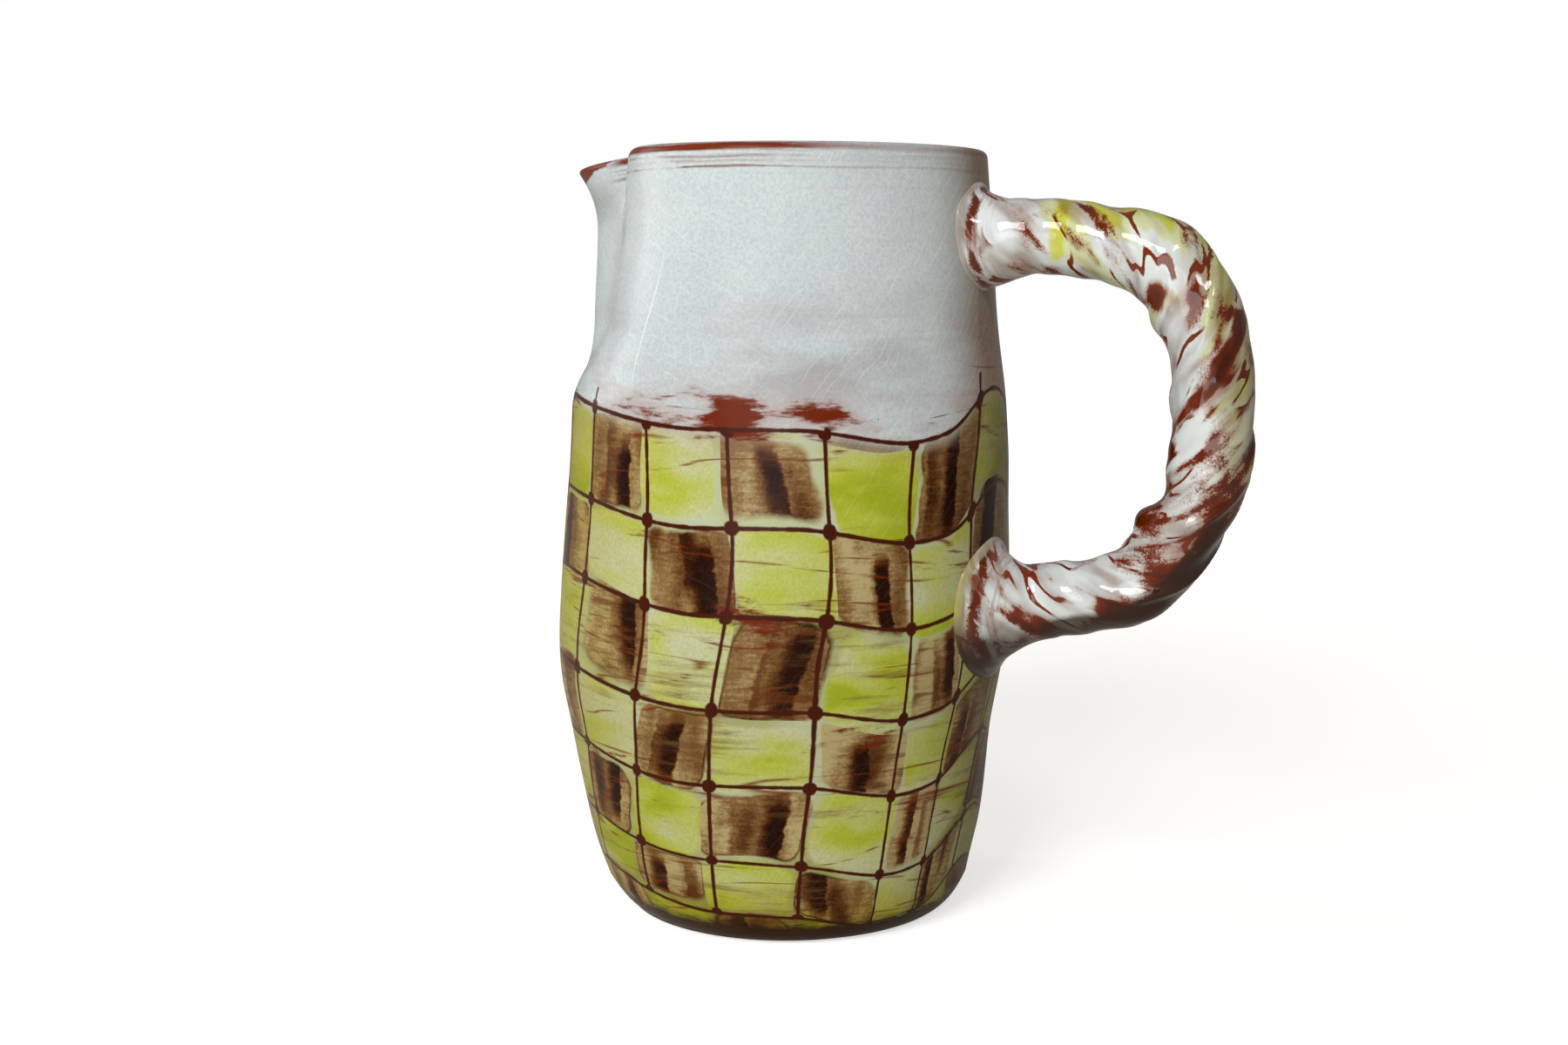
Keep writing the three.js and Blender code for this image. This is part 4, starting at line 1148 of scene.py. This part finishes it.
veins = node(tree, "Math", {0: veins, 1: veins_here}, **TIMES)
bare = node(tree, "Math", {0: bare, 1: veins}, **LARGER)
colour = node(tree, "Mix", {FACTOR: bare, COLOUR_A: slip, COLOUR_B: red}, **COLOUR_MIX)
print("nodes with slip and bare clay:", len(tree.nodes))

# %% Collars: streaks drawn round, and a red ring
round_it = node(tree, "VectorMath", {0: brush, 1: (0, 1, 1)}, **TIMES)
round_it = node(tree, "VectorMath", {0: round_it}, operation="NORMALIZE")
outwards = node(tree, "CombineXYZ", {0: off_wall})
round_it = node(tree, "VectorMath", {0: round_it, 1: outwards}, **PLUS)
streaks = node(tree, "TexNoise", {"Vector": round_it, "Scale": 0.9, "Detail": 2.5, "Roughness": 0.6})
near_wall = node(tree, "MapRange", {0: off_wall, 1: 9, 2: 3, 3: 0, 4: 0.75})
streaks_here = node(tree, "MapRange", {0: streaks, 1: 0.5, 2: 0.62})
streaks_here = node(tree, "Math", {0: near_wall, 1: streaks_here}, **TIMES)
colour = node(tree, "Mix", {FACTOR: streaks_here, COLOUR_A: colour, COLOUR_B: srgb("#86523e")}, **COLOUR_MIX)
ring = node(tree, "Math", {0: blots, 1: 4.0, 2: off_wall}, **TIMES_PLUS)
ring = node(tree, "Math", {0: grain, 1: 1.6, 2: ring}, **TIMES_PLUS)
ring_torn = node(tree, "MapRange", {0: strokes, 1: 0.42, 2: 0.5})
ring = node(tree, "Math", {0: hump(ring, 4.6, 1.5, 2.0), 1: ring_torn}, **TIMES, use_clamp=True)
colour = node(tree, "Mix", {FACTOR: ring, COLOUR_A: colour, COLOUR_B: srgb("#64230a")}, **COLOUR_MIX)
print("nodes with the collars' rings:", len(tree.nodes))

# %% The collars' edges, smeared with the wall's colours
EDGE_STOPS = ((0.0, "#3a2410"), (0.3, "#6a4a26"), (0.48, "#a5a046"), (0.75, "#a69a66"), (1.0, "#a9a39b"))
EDGE_LEVELS = (80, 120)  # heights of the first and the last of these colours
up_the_wall = node(tree, "MapRange", {0: level, 1: EDGE_LEVELS[0], 2: EDGE_LEVELS[1]})
edge_colour = node(tree, "ValToRGB", {0: up_the_wall}, stops=EDGE_STOPS)
edge = node(tree, "Math", {0: streaks, 1: 3.6, 2: off_wall}, **TIMES_PLUS)
edge = node(tree, "MapRange", {0: edge, 1: 3.4, 2: 2.4, 3: 0, 4: 0.85}, **SMOOTH)
colour = node(tree, "Mix", {FACTOR: edge, COLOUR_A: colour, COLOUR_B: edge_colour}, **COLOUR_MIX)
print("nodes with the collars' edges:", len(tree.nodes))

# %% Lime washes on the upper bend
lime_run = node(tree, "MapRange", {0: run, 1: 0.48, 2: 0.3, 3: -0.2, 4: 0.0}, **SMOOTH)
lime_start = node(tree, "MapRange", {0: run, 1: 0.07, 2: 0.11, 3: -0.3, 4: 0}, **SMOOTH)
lime_run = node(tree, "Math", {0: lime_run, 1: lime_start}, **PLUS)
lime_spots = node(tree, "Math", {0: streaky(brush, (17, 10, 10), 2), 1: lime_run}, **PLUS)
lime_spots = node(tree, "Math", {0: outside, 1: 0.12, 2: lime_spots}, **TIMES_PLUS)
lime_wash = node(tree, "MapRange", {0: lime_spots, 1: 0.46, 2: 0.54, 3: 0, 4: 0.85}, **SMOOTH)
colour = node(tree, "Mix", {FACTOR: lime_wash, COLOUR_A: colour, COLOUR_B: srgb("#f4f4b4")}, **STAIN)
stripe = node(tree, "Math", {0: strokes, 1: 0.03, 2: run}, **TIMES_PLUS)
stripe_here = node(tree, "MapRange", {0: outside, 1: -0.7, 2: -0.4})
stripe = node(tree, "Math", {0: hump(stripe, 0.147, 0.015, 2.0), 1: stripe_here}, **TIMES, use_clamp=True)
lime_strong = node(tree, "MapRange", {0: lime_spots, 1: 0.62, 2: 0.7}, **SMOOTH)
lime_strong = node(tree, "Math", {0: lime_strong, 1: stripe}, **LARGER)
colour = node(tree, "Mix", {FACTOR: lime_strong, COLOUR_A: colour, COLOUR_B: srgb("#f4f078")}, **STAIN)
print("nodes with the lime washes:", len(tree.nodes))

# %% Khaki and painted shade down the outer side, dark brown and painted shade below
# Partly a pale khaki wash, partly painted shade on the outer side of the handle.
khaki_and_painted_shade = node(tree, "MapRange", {0: outside, 1: 0.1, 2: 0.9})
khaki_and_painted_shade = node(tree, "Math", {0: khaki_and_painted_shade, 1: hump(run, 0.52, 0.36, 1.4)}, **TIMES, use_clamp=True)
colour = node(tree, "Mix", {FACTOR: khaki_and_painted_shade, COLOUR_A: colour, COLOUR_B: srgb("#cdc5a6")}, **STAIN)
# Partly dark brown paint, partly painted shade: the outer lower bend and the bottom of the lower collar.
dark_brown_and_painted_shade = node(tree, "Math", {0: blots, 1: 0.6, 2: low_bend}, **TIMES_PLUS)
dark_brown_and_painted_shade = node(tree, "MapRange", {0: dark_brown_and_painted_shade, 1: 0.66, 2: 1.0, 3: 0, 4: 0.88}, **SMOOTH)
low_collar_brown_and_shade = node(tree, "Math", {0: blots, 1: 14, 2: level}, **TIMES_PLUS)
low_collar_brown_and_shade = node(tree, "MapRange", {0: low_collar_brown_and_shade, 1: 105, 2: 94, 3: 0, 4: 0.88}, **SMOOTH)
on_collar = node(tree, "MapRange", {0: off_wall, 1: 18, 2: 11})
low_collar_brown_and_shade = node(tree, "Math", {0: low_collar_brown_and_shade, 1: on_collar}, **TIMES)
dark_brown_and_painted_shade = node(tree, "Math", {0: dark_brown_and_painted_shade, 1: low_collar_brown_and_shade}, **LARGER)
colour = node(tree, "Mix", {FACTOR: dark_brown_and_painted_shade, COLOUR_A: colour, COLOUR_B: srgb("#2c1202")}, **COLOUR_MIX)
print("nodes with khaki and dark brown:", len(tree.nodes))

# %% Gloss glaze on the handle
ripple = node(tree, "TexNoise", {"Vector": spot, "Scale": 1 / 5, "Detail": 1})
bumps = node(tree, "Bump", {"Strength": 0.05, "Distance": MM, "Height": ripple})
tree.links.new(colour, shader.inputs["Base Color"])
tree.links.new(bumps, shader.inputs["Normal"])
shader.inputs["Roughness"].default_value = 0.07
shader.inputs["IOR"].default_value = 1.5
shader.inputs["Specular IOR Level"].default_value = 0.45
handle.data.materials.append(brushed_slip)
print("handle finish has", len(tree.nodes), "nodes")

# %% [markdown]
# ## The photograph's view
# The jug stands on white paper, a little below the camera, with a broad soft light in front. The camera's
# place and lens were worked out from the jug's outline in the photograph, where the rim and the foot look
# like flat ovals: how flat they are gives the height and tilt of the camera.

# %% Camera
CAMERA_DISTANCE = 0.600
CAMERA_HEIGHT = 0.199
CAMERA_PITCH = math.radians(7.65)
CAMERA_TURN = math.radians(24)
FOCAL_PIXELS, IMAGE_WIDTH = 2227, 1800
AXIS_PIXELS_RIGHT = 2
camera_data = bpy.data.cameras.new("camera")
camera_data.sensor_width = 36
camera_data.lens = FOCAL_PIXELS / IMAGE_WIDTH * camera_data.sensor_width
camera = bpy.data.objects.new("camera", camera_data)
camera.location = (
    CAMERA_DISTANCE * math.sin(CAMERA_TURN), -CAMERA_DISTANCE * math.cos(CAMERA_TURN), CAMERA_HEIGHT,
)
camera.rotation_euler = (
    math.pi / 2 - CAMERA_PITCH, 0, CAMERA_TURN + math.atan(AXIS_PIXELS_RIGHT / FOCAL_PIXELS),
)
scene.collection.objects.link(camera)
scene.camera = camera
print("lens of", round(camera_data.lens, 1), "mm at", CAMERA_DISTANCE, "m")

# %% [markdown]
# ### White paper without more light
# The background is white, but light that is strong enough to burn paper white would bleach the pot too.
# Light Path tells the shader which ray asks: to the camera the paper glows white, and to the pot it is only
# pale, so the pot keeps its colours, and its shadow still falls on the paper.

# %% Floor
FLOOR_HALF = 6
MIRRORED = 0.15  # share of the white that a glaze mirrors, so that dark paint stays dark
GLOW_NEAR, GLOW_FAR = (0.25, 0.62), (1.2, 1.0)  # metres from the pot, and how strongly the paper glows there
bm = bmesh.new()
bmesh.ops.create_grid(bm, x_segments=8, y_segments=8, size=FLOOR_HALF)
floor_mesh = bpy.data.meshes.new("floor")
bm.to_mesh(floor_mesh)
bm.free()
floor = bpy.data.objects.new("floor", floor_mesh)
scene.collection.objects.link(floor)


def background_rays(tree):
    """1 for rays that show the background, to the camera or through glass, and a share in a reflection."""
    rays = node(tree, "LightPath").node.outputs
    seen = node(tree, "Math", {0: rays["Is Camera Ray"], 1: rays["Is Transmission Ray"]}, **LARGER)
    return node(tree, "Math", {0: rays["Is Glossy Ray"], 1: MIRRORED, 2: seen}, **TIMES_PLUS, use_clamp=True)


# Pale paper, pressed smooth and matt: no highlight, only an even white with a soft shadow.
paper, tree, shader = new_material("pale_paper_floor")
seen = background_rays(tree)
paper_colour = node(
    tree, "Mix", {FACTOR: seen, COLOUR_A: srgb("#cbc2b4"), COLOUR_B: srgb("#e8e6e2")}, **COLOUR_MIX)
tree.links.new(paper_colour, shader.inputs["Base Color"])
shader.inputs["Roughness"].default_value = 0.9
shader.inputs["Specular IOR Level"].default_value = 0
shader.inputs["Emission Color"].default_value = (1, 1, 1, 1)
far = node(tree, "TexCoord", out="Object")
far = node(tree, "VectorMath", {0: far}, out="Value", operation="LENGTH")
glow = {0: far, 1: GLOW_NEAR[0], 2: GLOW_FAR[0], 3: GLOW_NEAR[1], 4: GLOW_FAR[1]}
glow = node(tree, "MapRange", glow, **SMOOTH)
glow = node(tree, "Math", {0: seen, 1: glow}, **TIMES)
tree.links.new(glow, shader.inputs["Emission Strength"])
floor.data.materials.append(paper)
print("floor", 2 * FLOOR_HALF, "m wide")

# %% [markdown]
# ### Lamps
# Four soft area lamps stand in for a small studio: a broad one in front and above, a small one that makes the
# sharp highlights on the handle, and two large ones that lift the side and the foot.

# %% Lamps and room light
LAMPS = (  # name, size in metres, watts, place
    ("softbox", 0.55, 11.6, (0.0, -1.25, 1.0)),
    ("window", 0.2, 2.4, (0.72, -0.75, 1.0)),
    ("side fill", 0.8, 8.0, (-1.4, -0.15, 0.6)),
    ("low fill", 0.9, 8.5, (0.2, -1.5, 0.2)),
)
LAMP_TARGET = Vector((0, 0, 0.12))
ROOM_LIGHT, WHITE = (0.15, 0.13, 0.11, 1), (1, 1, 1, 1)
for name, size, watts, where in LAMPS:
    lamp = bpy.data.lights.new(name, "AREA")
    lamp.shape = "SQUARE"
    lamp.size = size
    lamp.energy = watts
    holder = bpy.data.objects.new(name, lamp)
    holder.location = where
    holder.rotation_euler = (LAMP_TARGET - holder.location).to_track_quat("-Z", "Y").to_euler()
    scene.collection.objects.link(holder)
world = bpy.data.worlds.new("studio")
world.use_nodes = True
tree = world.node_tree
seen = background_rays(tree)
sky = node(tree, "Mix", {FACTOR: seen, COLOUR_A: ROOM_LIGHT, COLOUR_B: WHITE}, **COLOUR_MIX)
tree.links.new(sky, tree.nodes["Background"].inputs["Color"])
scene.world = world
print(len(LAMPS), "lamps of", round(sum(watts for _, _, watts, _ in LAMPS), 1), "W in all")
